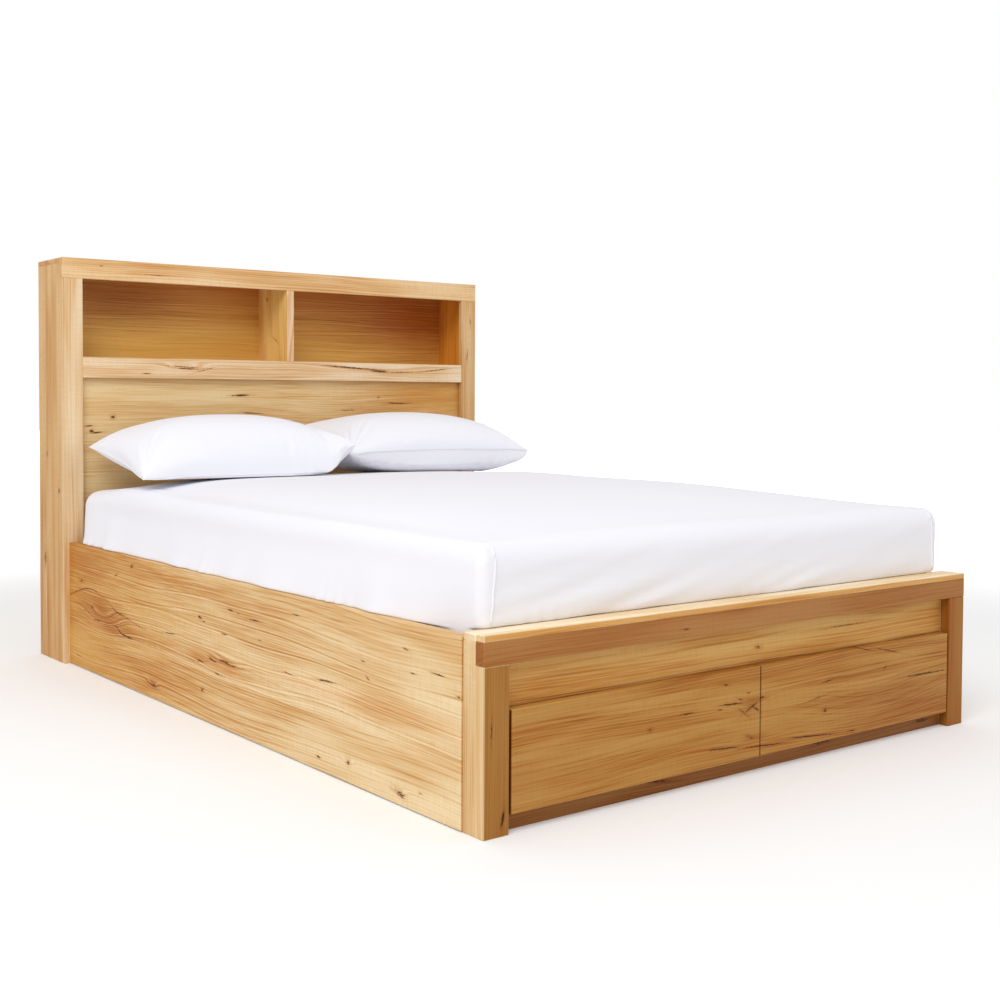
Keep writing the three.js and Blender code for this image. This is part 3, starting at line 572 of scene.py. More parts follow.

# %% [markdown]
# The headboard is a case of thicker boards behind a thin face frame. Its side shows
# upright staves, the frame pieces run with their own length, and the mid rail has a
# small cathedral of rings and a long dark swirl. The faces that look into the niches
# get painted warm light, for the light that comes off the wood around them.

# %% Headboard
side_veins = [(546, 995, 9, 6, 0, 0.3), (320, 1120, 26, 12, 0, 0.62), (660, 1100, 10, 6, 0, 0.7)]
side_shades = [(200, 1150, 620, 46, (0.88, 0.80, 0.70), 1.0), (260, 1040, 120, 30, (0.93, 0.84, 0.72), 0.8)]
# The faces that look into the niches get painted warm light, for the light off the wood around them.
for side, inwards, seed in (("left", TO_RIGHT, 71), ("right", TO_LEFT, 75)):
    hardwood(f"headboard_side_{side}", f"headboard {side}", "#d2a86f", UPRIGHT_Y, seed,
             faces=[(inwards, (1.2, 0.90, 0.29))], staves=(1010, 1050, 1108), veins=side_veins,
             shades=side_shades)
hardwood("headboard_stile_left", "left stile", "#dfc299", UPRIGHT_X, 81, vivid=0.8, fine=1.4)
hardwood("headboard_stile_right", "right stile", "#d3af7e", UPRIGHT_X, 85,
         veins=[(1010, 778, 26, 3, 4, 0.6), (1140, 792, 18, 3, -4, 0.6)])
hardwood("headboard_fascia", "head fascia", "#dfbb8a", ACROSS_BED, 89,
         veins=[(-500, 1243, 60, 1.5, 0, 0.55), (-690, 1262, 5, 2, 0, 0.4)])
mid_veins = [
    (250, 954, 150, 3.2, -3, 0.35), (372, 943, 44, 4.5, -2, 0.1), (470, 941, 60, 2.0, 1, 0.45),
    (620, 950, 90, 2.0, 6, 0.45), (-395, 940, 46, 2.6, -2, 0.3), (-410, 946, 84, 1.6, -3, 0.5),
    (-536, 922, 14, 1.8, 0, 0.35), (-330, 936, 40, 1.6, 14, 0.6),
]
hardwood("headboard_mid_rail", "mid rail", "#e4caa6", ACROSS_BED, 91, veins=mid_veins,
         knots=[(-400, 944, 150, 26, 18), (330, 950, 380, 26, 16)],
         shades=[(-390, 942, 100, 16, (0.90, 0.74, 0.58), 0.8), (330, 948, 190, 14, (0.84, 0.66, 0.50), 0.9)])
panel_veins = [
    (-184, 852, 36, 3.6, 2, 0.0), (-144, 791, 40, 2.0, -4, 0.25), (248, 800, 36, 1.8, 0, 0.5),
    (465, 826, 66, 2.4, -1, 0.15), (384, 847, 6, 3, 0, 0.35), (-643, 780, 9, 8, 0, 0.55),
    (-725, 752, 14, 2.4, 3, 0.2), (-700, 730, 24, 2.4, 6, 0.25), (-716, 735, 8, 6, 0, 0.4),
]
hardwood("headboard_lower_panel", "lower panel", "#e3c999", ACROSS_BED, 95, vivid=0.6, fine=2.0,
         staves=(180, 340, 505, 662, 832), veins=panel_veins, knots=[(200, 800, 420, 60, 18)],
         shades=[(660, 850, 760, 330, (0.80, 0.55, 0.27), 1.0)])
hardwood("headboard_top", "headboard top", "#ddb680", LYING, 97, staves=(1020, 1080, 1130))
hardwood("headboard_shelf", "shelf", "#d3a263", LYING, 99, staves=(1060, 1120))
# Both faces of the divider get painted warm light from the niches.
hardwood("headboard_divider", "divider", "#e6cbae", UPRIGHT_Y, 101, knots=[(1040, 1050, 50, 40, 16)],
         faces=[(direction, (1.1, 1.05, 0.52)) for direction in (TO_LEFT, TO_RIGHT)],
         veins=[(1195, 1100, 8, 6, 0, 0.6), (1050, 1040, 24, 3, 60, 0.68)])
print("hardwoods:", sum("hardwood" in material.name for material in bpy.data.materials))

# %% [markdown]
# The niches look warmer and darker towards their top, because light reaches the back
# panel only after touching timber. The lamps here are few and soft, so part of that
# warmth and depth is painted on the inner face of the veneer, as a golden tone and
# painted shade, and its outer face gets a cooler tint so that it stays as plain as the case.

# %% Back panel
# Painted shade on the niches' back: darker towards the top, the left and the right.
niche_painted_shade = [
    (-560, 1180, 400, 150, (0.58, 0.40, 0.40), 0.95), (80, 1250, 1400, 290, (0.62, 0.36, 0.30), 0.95),
    (660, 1150, 560, 260, (0.58, 0.25, 0.11), 0.95), (0, 1137, 1000, 10, (0.88, 0.80, 0.70), 0.8),
]
timber(["headboard_back"], "veneered plywood back", "#ebc268", ACROSS_BED, 103, vivid=0.4, fine=0.5,
       staves=(200, 420, 640, 860, 1010, 1060, 1100, 1146, 1194), shades=niche_painted_shade, shaded=TO_FOOT,
       faces=[(TO_HEAD, (0.87, 0.87, 1.5))])
print("niche shades:", len(niche_painted_shade))

# %% [markdown]
# Out of sight are plainer woods and metal: the drawer boxes, cleats and slats are a
# pale softwood, the drawer bottoms plywood, the runners bright zinc-plated steel, and
# the centre leg and brackets are painted black. They show when a drawer is opened, and
# in the views from below, so they get the same timber without marks of their own.

# %% Box timber
box_sides = [f"{side}_drawer_{part}_side" for side in ("left", "right") for part in ("outer", "inner")]
box_beams = ["slat_cleat_left", "slat_cleat_right", "centre_beam", "runner_batten_left",
             "runner_batten_right", "drawer_partition"]
box_bottoms = ["left_drawer_bottom", "right_drawer_bottom"]
timber(box_sides, "sanded box timber sides", "#dcc7a0", ALONG_BED, 111)
timber(["left_drawer_back", "right_drawer_back"], "sanded box timber backs", "#dcc7a0", ACROSS_BED, 115)
timber(box_beams, "sanded box timber beams", "#d8c198", ALONG_BED, 119)
timber(["slat_base"], "sanded slats", "#e0cba6", LYING, 123)
timber(box_bottoms, "birch plywood drawer bottoms", "#d8bd8c", ACROSS_BED, 127)
print("box sides, beams and bottoms:", len(box_sides), len(box_beams), len(box_bottoms))

# %% [markdown]
# Zinc plate is a bright grey metal with a faint spangle, and powder coat is a baked
# paint, a slightly pebbled black satin. A scan could show their grain, but a fine noise
# of the right size in the roughness and relief does it for both.

# %% Metals


def coated_metal(name, tone, metallic, roughness, grain_mm, relief_mm):
    """Plated or painted steel. A noise with grains of a given size varies colour, gloss and relief."""
    material, tree = new_material(name)
    place = add(tree, "TexCoord", out="Object")
    grain = add(tree, "TexNoise", {"Vector": place, "Scale": 1 / (grain_mm * MM), "Detail": 2.0})
    colour = add(tree, "Mix", {0: grain, 6: rgba(linear(tone) * 0.82), 7: rgba(linear(tone))}, out=2,
                 data_type="RGBA")
    gloss = add(tree, "MapRange", [grain, 0.3, 0.7, roughness - 0.06, roughness + 0.08])
    bump = add(tree, "Bump", {"Strength": 0.4, "Distance": relief_mm * MM, "Height": grain})
    surface = add(tree, "BsdfPrincipled", {"Base Color": colour, "Metallic": metallic, "Roughness": gloss,
                                           "Normal": bump})
    add(tree, "OutputMaterial", [surface])
    return material


zinc = coated_metal("zinc-plated steel", "#c3c6c9", 1.0, 0.34, 6.0, 0.03)
powder = coated_metal("black powder coat", "#2c2d30", 0.0, 0.46, 1.6, 0.08)
dress(zinc, *[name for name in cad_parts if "_runner_" in name and "batten" not in name])
dress(powder, "centre_leg", *[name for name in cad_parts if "bracket" in name])
print("materials:", len(bpy.data.materials))

# %% [markdown]
# The sheet and pillow cases are plain-woven white cotton. Real threads, four to a
# millimetre, are too fine to show, so the weave is drawn at a millimetre. Broad faint
# clouds of painted shade, as soft creases would give, keep the white from looking like
# plastic, and the sheen is for the light that cotton scatters at grazing angles.

# %% Cotton
WAVES = 0.314  # the wave texture's scale at which one wave is as long as one unit


def cotton(name, tone, weave_mm, crease, seed):
    """Woven cotton: two crossed waves for the threads, a noise for soft creases in the relief and gloss, and
    a broader one for faint painted shade on the colour.
    """
    material, tree = new_material(name)
    place = add(tree, "TexCoord", out="Object")
    thread = {"Vector": place, "Scale": WAVES / (weave_mm * MM), "Distortion": 0.6}
    threads = [add(tree, kind, thread, out="Fac") for kind in ("TexWave X", "TexWave Y")]
    weave = add(tree, "Math MULTIPLY", threads)
    creases = add(tree, "TexNoise 4D", {"Vector": place, "W": float(seed), "Scale": 9.0, "Detail": 4.0,
                                     "Distortion": 0.8})
    painted_crease_shade = add(tree, "TexNoise 4D", {"Vector": place, "W": float(seed), "Scale": 2.2, "Detail": 1.0})
    # Painted shade: the colour is a little darker in broad clouds.
    colour = add(tree, "Mix", {0: painted_crease_shade, 6: rgba(linear(tone) * (0.975, 0.975, 0.99)), 7: rgba(linear(tone))},
                 out=2, data_type="RGBA")
    coarse = add(tree, "Bump", {"Strength": 0.5, "Distance": crease * MM, "Height": creases})
    fine = add(tree, "Bump", {"Strength": 0.25, "Distance": 0.12 * MM, "Height": weave, "Normal": coarse})
    gloss = add(tree, "MapRange", [creases, 0.3, 0.7, 0.82, 0.92])
    surface = add(tree, "BsdfPrincipled", {
        "Base Color": colour, "Roughness": gloss, "Normal": fine, "Sheen Weight": 0.12,
        "Sheen Roughness": 0.5, "IOR": 1.45, "Specular IOR Level": 0.25})
    add(tree, "OutputMaterial", [surface])
    return material


sheet_cotton = cotton("white percale sheet", "#f2f1f6", 1.0, 1.6, 1)
pillow_cotton = cotton("white percale pillowcase", "#f3f3f8", 1.0, 1.2, 7)
print("cottons:", sheet_cotton.name, "and", pillow_cotton.name)

# %% [markdown]
# The mattress is drawn as two pieces, as on the real bed: a padded core and the fitted
# sheet stretched over it. A bevelled box would be too flat and stiff for either. Both
# are rounded rectangles stacked from the underside to the middle of the top, so one
# function works out a whole stack of rings as one array.

# %% Rings around the mattress
MATTRESS_WIDTH, MATTRESS_LENGTH = 1530.0, 2030.0
MATTRESS_LOW, MATTRESS_EDGE, MATTRESS_CROWN = 301.5, 571.5, 45.0
MATTRESS_MIDDLE, BULGE_MIDDLE, BULGE_HALF = -82.5, -92.0, 1028.5
ROLL_SIZE, CORNER_SIZE = 73.0, 28.0
FOOT_TOP, BULGE_TOP = 394.0, 460.0
CROWN_HALF = (MATTRESS_WIDTH / 2 - ROLL_SIZE, BULGE_HALF - ROLL_SIZE)
PRESSED_SHARE, PRESSED_FROM, PRESSED_OVER = 0.24, 130.0, 320.0


def ease(share):
    """Smooth step: 3u^2 - 2u^3 for u from 0 to 1."""
    u = np.clip(share, 0, 1)
    return u * u * (3 - 2 * u)


def mattress_top(x, y):
    """Height of the bed's top: edge + crown * (1 - |x / a| ^ p) * (1 - |y / b| ^ 4), with p 8 on
    the left and 4 on the right; the pillows press a quarter of the crown down."""
    across = np.minimum(np.abs(x) / CROWN_HALF[0], 1) ** np.where(x < 0, 8, 4)
    along = np.minimum(np.abs(y - BULGE_MIDDLE) / CROWN_HALF[1], 1) ** 4
    pressed = 1 - PRESSED_SHARE * ease((y - PRESSED_FROM) / PRESSED_OVER)
    return MATTRESS_EDGE + MATTRESS_CROWN * pressed * (1 - across) * (1 - along)


def ring_table(on_x, on_y, on_corner):
    """Where each point of a ring sits: its corner's centre in x and y (-1 to 1), and the cosine
    and sine of its direction from there."""
    quarter = np.linspace(0, 1, on_corner + 1)
    rows = []
    for k, (sx, sy) in enumerate(((1, 1), (-1, 1), (-1, -1), (1, -1))):
        turn = (k + quarter) * math.pi / 2
        rows.append(np.stack([np.full_like(turn, sx), np.full_like(turn, sy), np.cos(turn), np.sin(turn)], 1))
        steps = on_x if k % 2 == 0 else on_y
        run = np.linspace(0, 1, steps + 1)[1:-1]
        ahead = 1 - 2 * run
        fixed = np.full_like(run, 1.0)
        end = (k + 1) * math.pi / 2
        x, y = (sx * ahead, sy * fixed) if k % 2 == 0 else (sx * fixed, sy * ahead)
        rows.append(np.stack([x, y, fixed * math.cos(end), fixed * math.sin(end)], 1))
    return np.concatenate(rows)


def stacked_rings(levels, table):
    """Points of stacked rings: corner centre * (half size - radius) + radius * direction. A
    level is half width, half length, corner radius, middle y and z."""
    half_x, half_y, radius, middle, z = levels.T[:, :, None]
    centre_x, centre_y, cosine, sine = table.T[:, None, :]
    x = centre_x * (half_x - radius) + radius * cosine
    y = centre_y * (half_y - radius) + radius * sine + middle
    return np.stack([x, y, z + 0 * x], -1)


def make_piece(name, points, faces, material):
    """A smooth mesh object at the origin from points in mm and faces."""
    mesh = bpy.data.meshes.new(name)
    mesh.from_pydata((points * MM).tolist(), [], faces)
    mesh.materials.append(material)
    mesh.shade_smooth()
    made = bpy.data.objects.new(name, mesh)
    scene.collection.objects.link(made)
    return made


def grid_faces(rows, columns, around=True):
    """Quads of a grid of rows and columns, closed round its columns if asked."""
    i, j = np.meshgrid(np.arange(rows - 1), np.arange(columns if around else columns - 1), indexing="ij")
    a, b = i * columns + j, i * columns + (j + 1) % columns
    return np.stack([a, b, b + columns, a + columns], -1).reshape(-1, 4)


def make_stack(name, rings, poles, material):
    """A piece of rings with a fan to each pole: one pole closes the top, two the underside and the top."""
    rows, columns = rings.shape[:2]
    faces = grid_faces(rows, columns).tolist()
    for k, on_top in enumerate((False, True)[-len(poles):]):
        one = np.arange(columns) + (rows - 1) * columns * on_top
        fan = [one, np.roll(one, -1)][::1 if on_top else -1] + [np.full(columns, rows * columns + k)]
        faces += np.stack(fan, 1).tolist()
    return make_piece(name, np.concatenate([rings.reshape(-1, 3), poles]), faces, material)


def hill(off, half):
    """A smooth hill: exp(-(off / half)^2)."""
    return np.exp(-(off / half) ** 2)


# %% [markdown]
# The sheet follows the mattress over its rolled edges, runs down inside the rails and
# turns under by a hand's width, where its elastic grips. Its rings lie close together
# just over the rails, where the cloth bends most.

# %% Sheet and mattress form
UNDER_TURN = 90.0
LOWER_ROLL = 15.0
UNDER_STEPS, LOWER_ROLL_STEPS, ROLL_STEPS, CROWN_STEPS = 5, 5, 12, 34
RAIL_TOP = 384.0
ABOVE_RAIL = np.array([0.8, 1.6, 3.2, 5.5, 9, 10.6, 11.4, 13, 16, 21, 28, 35, 44, 54, 66, 80, 96])
ROLL_POWER = 0.77
BULGE_POWER = 0.22
CORNER_HANG = 18.0


def mattress_levels(inset=0.0):
    """Levels from the turned-under hem to the last ring of the crown, moved in by inset mm."""
    rows = []
    for share in np.linspace(1, 0, UNDER_STEPS + 1)[:-1]:
        rows.append((-LOWER_ROLL - share * UNDER_TURN, 0.0, MATTRESS_LOW + inset))
    for turn in np.linspace(0, math.pi / 2, LOWER_ROLL_STEPS):
        up = LOWER_ROLL * (1 - math.cos(turn))
        rows.append((-LOWER_ROLL * (1 - math.sin(turn)), 0.0, MATTRESS_LOW + inset + up))
    top_of_side = MATTRESS_EDGE - ROLL_SIZE
    below_rail = np.linspace(MATTRESS_LOW + LOWER_ROLL, RAIL_TOP, 9)[1:]
    for z in (*below_rail, *(RAIL_TOP + inset / 2 + ABOVE_RAIL), top_of_side):
        share = np.clip((z - FOOT_TOP) / (BULGE_TOP - FOOT_TOP), 0, 1)
        rows.append((0.0, math.sin(share ** BULGE_POWER * math.pi / 2), z))
    for turn in np.linspace(0, math.pi / 2, ROLL_STEPS + 1)[1:]:
        aside, up = math.cos(turn) ** ROLL_POWER, math.sin(turn) ** ROLL_POWER
        rows.append((-ROLL_SIZE * (1 - aside), 1.0, top_of_side + ROLL_SIZE * up - inset))
    grow, share, z = np.array(rows).T
    grow = grow - inset
    half_x = MATTRESS_WIDTH / 2 + grow
    half_y = MATTRESS_LENGTH / 2 + share * (BULGE_HALF - MATTRESS_LENGTH / 2) + grow
    middle = MATTRESS_MIDDLE + share * (BULGE_MIDDLE - MATTRESS_MIDDLE)
    return np.stack([half_x, half_y, np.maximum(5, CORNER_SIZE + grow), middle, z], 1)


def mattress_points(table, inset=0.0):
    """The whole stack: the levels, then rings that shrink over the crown to its middle. The
    corner at the head on the left hangs a little."""
    sides = stacked_rings(mattress_levels(inset), table)
    share = np.linspace(1, 0, CROWN_STEPS + 1)[1:-1]
    crown = np.stack([share * (CROWN_HALF[0] - inset), share * (CROWN_HALF[1] - inset), 5 * share,
                      np.full_like(share, BULGE_MIDDLE), np.zeros_like(share)], 1)
    top = stacked_rings(crown, table)
    top[..., 2] = mattress_top(top[..., 0], top[..., 1]) - inset
    points = np.concatenate([sides, top])
    x, y, z = points[..., 0], points[..., 1], points[..., 2]
    points[..., 2] -= CORNER_HANG * ease((-x - 430) / 280) * ease((y - 600) / 300) * ease((z - 440) / 130)
    return points


# %% [markdown]
# Stretched cotton lies nearly flat, so its life is in small things: a soft swell that
# rests on the rails, short puckers along them, long shallow folds at the foot, gathers
# where the corner seams pull and slow hollows over the top. A simulation would mostly
# give the stretched surface back, so they are written as waves and smooth hills. They
# are added along the surface's own direction, by a few millimetres, and the swell by
# two and a half centimetres.

# %% Fitted sheet
OVERHANG = 25.0
HOLLOW, PUCKER, FOLD, SEAM_PULL, FULLER, EDGE_DIP = 1.0, 2.4, 1.9, 3.4, 12.0, 5.0
FOOT_FOLDS, SIDE_FOLDS, HOLLOW_SIZES = (40, 105), (70, 190), (240, 620)
PULLED_X, PULLED_Z, FULLER_X, FULLER_Y = 742, 540, -722, 520
SHEET_THICKNESS = 0.6


def waves(rng, points, count, shortest, longest):
    """A smooth random field: a sum of sine waves with random directions, lengths and phases."""
    total = np.zeros(points.shape[:-1])
    for _ in range(count):
        direction = rng.normal(size=3)
        length = rng.uniform(shortest, longest)
        direction *= 2 * math.pi / length / np.linalg.norm(direction)
        total += np.sin(points @ direction + rng.uniform(0, 2 * math.pi))
    return total / math.sqrt(count)


def fold_lines(points, along, across, rng, count, slope):
    """Long shallow folds on an upright face: sine waves whose crests climb at a slope, in a
    random mix of lengths between the two numbers of across, bending slowly along the face."""
    run, z = points[..., along], points[..., 2]
    total = np.zeros(run.shape)
    for _ in range(count):
        length = rng.uniform(*across)
        bend = 22 * np.sin(run / rng.uniform(120, 260) + rng.uniform(0, 6.3))
        total += np.sin(2 * math.pi * (z - slope * run + bend) / length + rng.uniform(0, 6.3))
    return total / math.sqrt(count)


sheet_table = ring_table(190, 240, 8)
sheet_points = mattress_points(sheet_table)
rng = np.random.default_rng(5)
x, y, z = sheet_points[..., 0], sheet_points[..., 1], sheet_points[..., 2]
outward = sheet_table[None, :, 2:]
on_side, on_foot = np.abs(outward[..., 0]) ** 3, np.maximum(-outward[..., 1], 0) ** 3
run = np.where(np.abs(x) > MATTRESS_WIDTH / 2 - 40, y, x)

upright_part = np.clip((MATTRESS_EDGE - 20 - z) / 60, 0, 1)
above_rail = np.clip((z - RAIL_TOP) / 110, 0, 1)
swell = np.sin(math.pi * above_rail ** 0.2) * (z > RAIL_TOP + 0.5) * (z < MATTRESS_EDGE)
lip = 1 + 0.12 * np.sin(run / 83) + 0.10 * np.sin(run / 31 + 1.4 * np.sin(run / 140))
ends = np.clip((y - MATTRESS_MIDDLE + 940) / 260, 0, 1) * np.clip((1012 - y + MATTRESS_MIDDLE) / 40, 0, 1)
overhang = OVERHANG * swell * lip * on_side * ends

near_hem = upright_part * np.exp(-np.maximum(z - RAIL_TOP, 0) / 26)
pucker = np.sin(run / 8.5 + 2.4 * np.sin(run / 47)) * np.maximum(0, np.sin(run / 110 + 0.8)) ** 2
folds = fold_lines(sheet_points, 0, FOOT_FOLDS, rng, 6, 0.20) * on_foot
folds = folds + 0.5 * fold_lines(sheet_points, 1, SIDE_FOLDS, rng, 4, -0.10) * on_side
hollows = waves(rng, sheet_points * (1, 1, 2), 9, *HOLLOW_SIZES)
corner_pull = hill(np.abs(x) - PULLED_X, 24) * hill(z - PULLED_Z, 24) * on_foot
corner_pull = corner_pull * np.sin(z / 3.0 + np.abs(x) / 9)
fuller = hill(y - FULLER_Y, 170) * hill(x - FULLER_X, 60) * ease((z - 470) / 90)
dent = (HOLLOW * (hollows - 1.6) + PUCKER * near_hem * pucker + FOLD * upright_part * (folds - 1.2)
        + SEAM_PULL * corner_pull + overhang + FULLER * fuller)
dent = dent - EDGE_DIP * np.minimum(np.abs(x) / CROWN_HALF[0], 1) ** 8 * (z > MATTRESS_EDGE - 6)
level_tilt = np.clip((z - (MATTRESS_EDGE - ROLL_SIZE)) / ROLL_SIZE, 0, 1)
push = np.zeros_like(sheet_points)
push[..., :2] = outward * np.cos(level_tilt * math.pi / 2)[..., None]
push[..., 2] = np.sin(level_tilt * math.pi / 2)
above_hem = z > MATTRESS_LOW + 14
sheet_points = sheet_points + push * (dent * above_hem)[..., None]
crown_pole = (0, BULGE_MIDDLE, MATTRESS_EDGE + MATTRESS_CROWN + dent[-1].mean())
sheet = make_stack("fitted_sheet", sheet_points, [crown_pole], sheet_cotton)
cloth_body = sheet.modifiers.new("cloth thickness", "SOLIDIFY")
cloth_body.thickness = SHEET_THICKNESS * MM
cloth_body.offset = -1
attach(sheet, "bed_frame")
print("sheet points:", len(sheet.data.vertices))

# %% [markdown]
# The core inside is the mattress itself in its white ticking. It only shows from below,
# between the slats, so it takes the same rings a little further in and closes its
# underside.

# %% Mattress core
CORE_INSET = 9.0
core_poles = [(0, MATTRESS_MIDDLE, MATTRESS_LOW + CORE_INSET),
              (0, BULGE_MIDDLE, MATTRESS_EDGE + MATTRESS_CROWN - CORE_INSET)]
ticking = cotton("quilted mattress ticking", "#e9e8e6", 3.0, 4.0, 3)
core = make_stack("mattress_core", mattress_points(ring_table(24, 30, 4), CORE_INSET), core_poles, ticking)
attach(core, "bed_frame")
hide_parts("mattress")
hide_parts("mattress")
print("core points:", len(core.data.vertices))

# %% [markdown]
# A fitted sheet is cut as a rectangle with a square taken out of each corner, sewn up
# into a dart. Its drop is the mattress depth and the turn under, with a little for the
# hem.


# %% [markdown]
# Seams are thin round cords. A curve with a bevel could draw one, but it would have to
# be turned into a mesh afterwards. Here each point of a cord's path gets a circle of
# points in the plane across the path's direction.

# %% Cords
CORD_SIDES = 8


def tube(path, radius, closed=False):
    """Points and faces of a round tube on a path, with flat ends unless it is closed."""
    ahead = np.roll(path, -1, 0) - np.roll(path, 1, 0)
    if not closed:
        ahead[0], ahead[-1] = path[1] - path[0], path[-1] - path[-2]
    ahead /= np.linalg.norm(ahead, axis=1)[:, None]
    helper = np.where(np.abs(ahead[:, 2:]) > 0.9, np.array([[1.0, 0, 0]]), np.array([[0, 0, 1.0]]))
    one = np.cross(ahead, helper)
    one /= np.linalg.norm(one, axis=1)[:, None]
    two = np.cross(ahead, one)
    turn = np.linspace(0, 2 * math.pi, CORD_SIDES, endpoint=False)
    ring = one[:, None] * np.cos(turn)[None, :, None] + two[:, None] * np.sin(turn)[None, :, None]
    points = path[:, None] + ring * radius
    faces = grid_faces(len(path), CORD_SIDES).tolist()
    first = list(range(CORD_SIDES))
    last = [(len(path) - 1) * CORD_SIDES + k for k in first]
    if closed:
        faces += [(last[k], last[n], n, k) for k, n in zip(first, first[1:] + first[:1])]
    else:
        faces += [first[::-1], last]
    return points.reshape(-1, 3), faces


# %% [markdown]
# Each corner of the sheet is a dart: the two edges of the cut-out square sewn together.
# The seam stands up as a narrow ridge on the foot and head faces, three to four
# centimetres in from the corner. It is a thin cord of thread and turned cloth that
# follows the sheet's own grid, just proud of it.

# %% Corner seams
SEAM_INSET = (28.0, 43.0)
SEAM_RADIUS, SEAM_PROUD = 2.3, 0.9
seam_points, seam_faces = [], []
in_sight = (z[:, 0] > RAIL_TOP + 16) & (z[:, 0] < MATTRESS_EDGE - 12)
seam_rows = np.nonzero(in_sight & (np.arange(len(z)) > UNDER_STEPS))[0]
for end in (-1, 1):
    for hand in (-1, 1):
        on_end = np.nonzero(np.sign(sheet_table[:, 3]) * (np.abs(sheet_table[:, 3]) > 0.99) == end)[0]
        path = []
        for row in seam_rows:
            line = sheet_points[row, on_end[::end]]
            height = line[:, 2].mean()
            wanted = hand * (MATTRESS_WIDTH / 2 - np.interp(height, (RAIL_TOP, MATTRESS_EDGE), SEAM_INSET))
            path.append([np.interp(wanted, line[::-1, 0], line[::-1, axis]) for axis in range(3)])
        points, faces = tube(np.array(path) + (0, end * SEAM_PROUD, 0), SEAM_RADIUS)
        start = sum(len(p) for p in seam_points)
        seam_points.append(points)
        seam_faces += [[i + start for i in face] for face in faces]
corner_seams = make_piece("sheet_corner_seams", np.concatenate(seam_points), seam_faces, sheet_cotton)
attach(corner_seams, "bed_frame")
print("corner seams:", len(seam_points))

# %% [markdown]
# A pillow is two rectangles of cloth sewn round the edge and filled, so it is thick in
# the middle, thin at the seam, drawn in between its corners and pointed at them. It
# could be sculpted, but a formula keeps both pillows to their true size: its shape is a
# function of two numbers, s along and t across, each from -1 to 1. The seam isn't
# level: the left pillow lies on its front edge and leans back, and its front right
# corner stands up against its neighbour. Front and back give the seam's height at the
# left, middle and right. Over and under are powers for the left, right and front of
# each half, and the lower a power is, the fuller the pillow. A corner is moved in x and
# y.

# %% Pillow shape
HALF_LONG, HALF_DEEP = 708.0 / 2, 460.0 / 2
SEAM_FALL, DRAWN_IN = 2.6, (0.05, 0.06)
CASE_HOLLOW, CASE_RIDGE, CASE_FAN = 1.4, 1.9, 3.0
CLEAR_OF_SHEET = 0.5
PILLOW_STEPS = (112, 74)
pillows = {
    "pillow_left": dict(centre=(-405.0, 680.0), turn=-4.0, crest=779.5, front=(606, 606, 694), rise=0.74,
                        back=(686, 668, 690), corners=[(-1, -1, 14, 2, 4)], lowest=603,
                        over=(0.46, 0.33, 0.42), under=(0.85, 0.3, 0.4), seed=3),
    "pillow_right": dict(centre=(311.0, 702.0), turn=-2.0, crest=784, front=(662, 666, 664), rise=0.35,
                         back=(725, 664, 668), corners=[(1, -1, 12, -5, 12)], lowest=590,
                         over=(0.42, 0.46, 0.46), under=(0.75, 0.25, 0.12), seed=8),
}


def seam_height(s, t, pillow):
    """Height of the seam: each long edge has three heights with smooth steps between them,
    and a point between the edges takes a straight share of both."""
    edges = []
    for (left, middle, right), start in ((pillow["front"], pillow["rise"]), (pillow["back"], 0.35)):
        rise = ease((s - start) / (1 - start))
        edges.append(middle + (left - middle) * ease((-s - 0.4) / 0.6) + (right - middle) * rise)
    share = (t + 1) / 2
    return edges[0] * (1 - share) + edges[1] * share


def gathers(s, t, pillow):
    """Sine waves that fade with distance: short ridges that run in from the seams, fans of
    folds from the corners, and slow hollows in between."""
    draw = np.random.default_rng(pillow["seed"])
    x, y = s * HALF_LONG, t * HALF_DEEP
    total = CASE_HOLLOW * np.sin(x / 62 + 1.3 * np.sin(y / 70 + pillow["seed"]))
    total = total * np.sin(y / 48 + 0.9 * np.sin(x / 90)) * (1 - s ** 6) * (1 - t ** 6)
    for run, inward in ((x, HALF_DEEP - np.abs(y)), (y, HALF_LONG - np.abs(x))):
        phase = draw.uniform(0, 6.28, 3)
        wave = np.sin(run / 7.5 + 2.2 * np.sin(run / 31 + phase[0]) + phase[1])
        wave = wave * (0.6 + 0.4 * np.sin(run / 53 + phase[2]))
        total += CASE_RIDGE * wave * np.exp(-(inward / 32) ** 1.3) * (1 - np.exp(-inward / 6))
    for cx, cy in ((-1, -1), (-1, 1), (1, -1), (1, 1)):
        dx, dy = HALF_LONG - cx * x, HALF_DEEP - cy * y
        away, angle = np.hypot(dx, dy), np.arctan2(dy, dx)
        phase = draw.uniform(0, 6.28, 3)
        fan = np.sin(angle * 17 + phase[0] + 0.8 * np.sin(away / 60 + phase[1]))
        fan = fan + 0.6 * np.sin(angle * 29 + phase[2])
        total += CASE_FAN * fan * hill(away - 70, 80) * np.clip(away / 40, 0, 1)
    return total


def resting(points, pillow):
    """The lowest that a pillow's points may be: just over the sheet, and no lower than its own limit."""
    return np.maximum(mattress_top(points[..., 0], points[..., 1]) + CLEAR_OF_SHEET, pillow["lowest"])


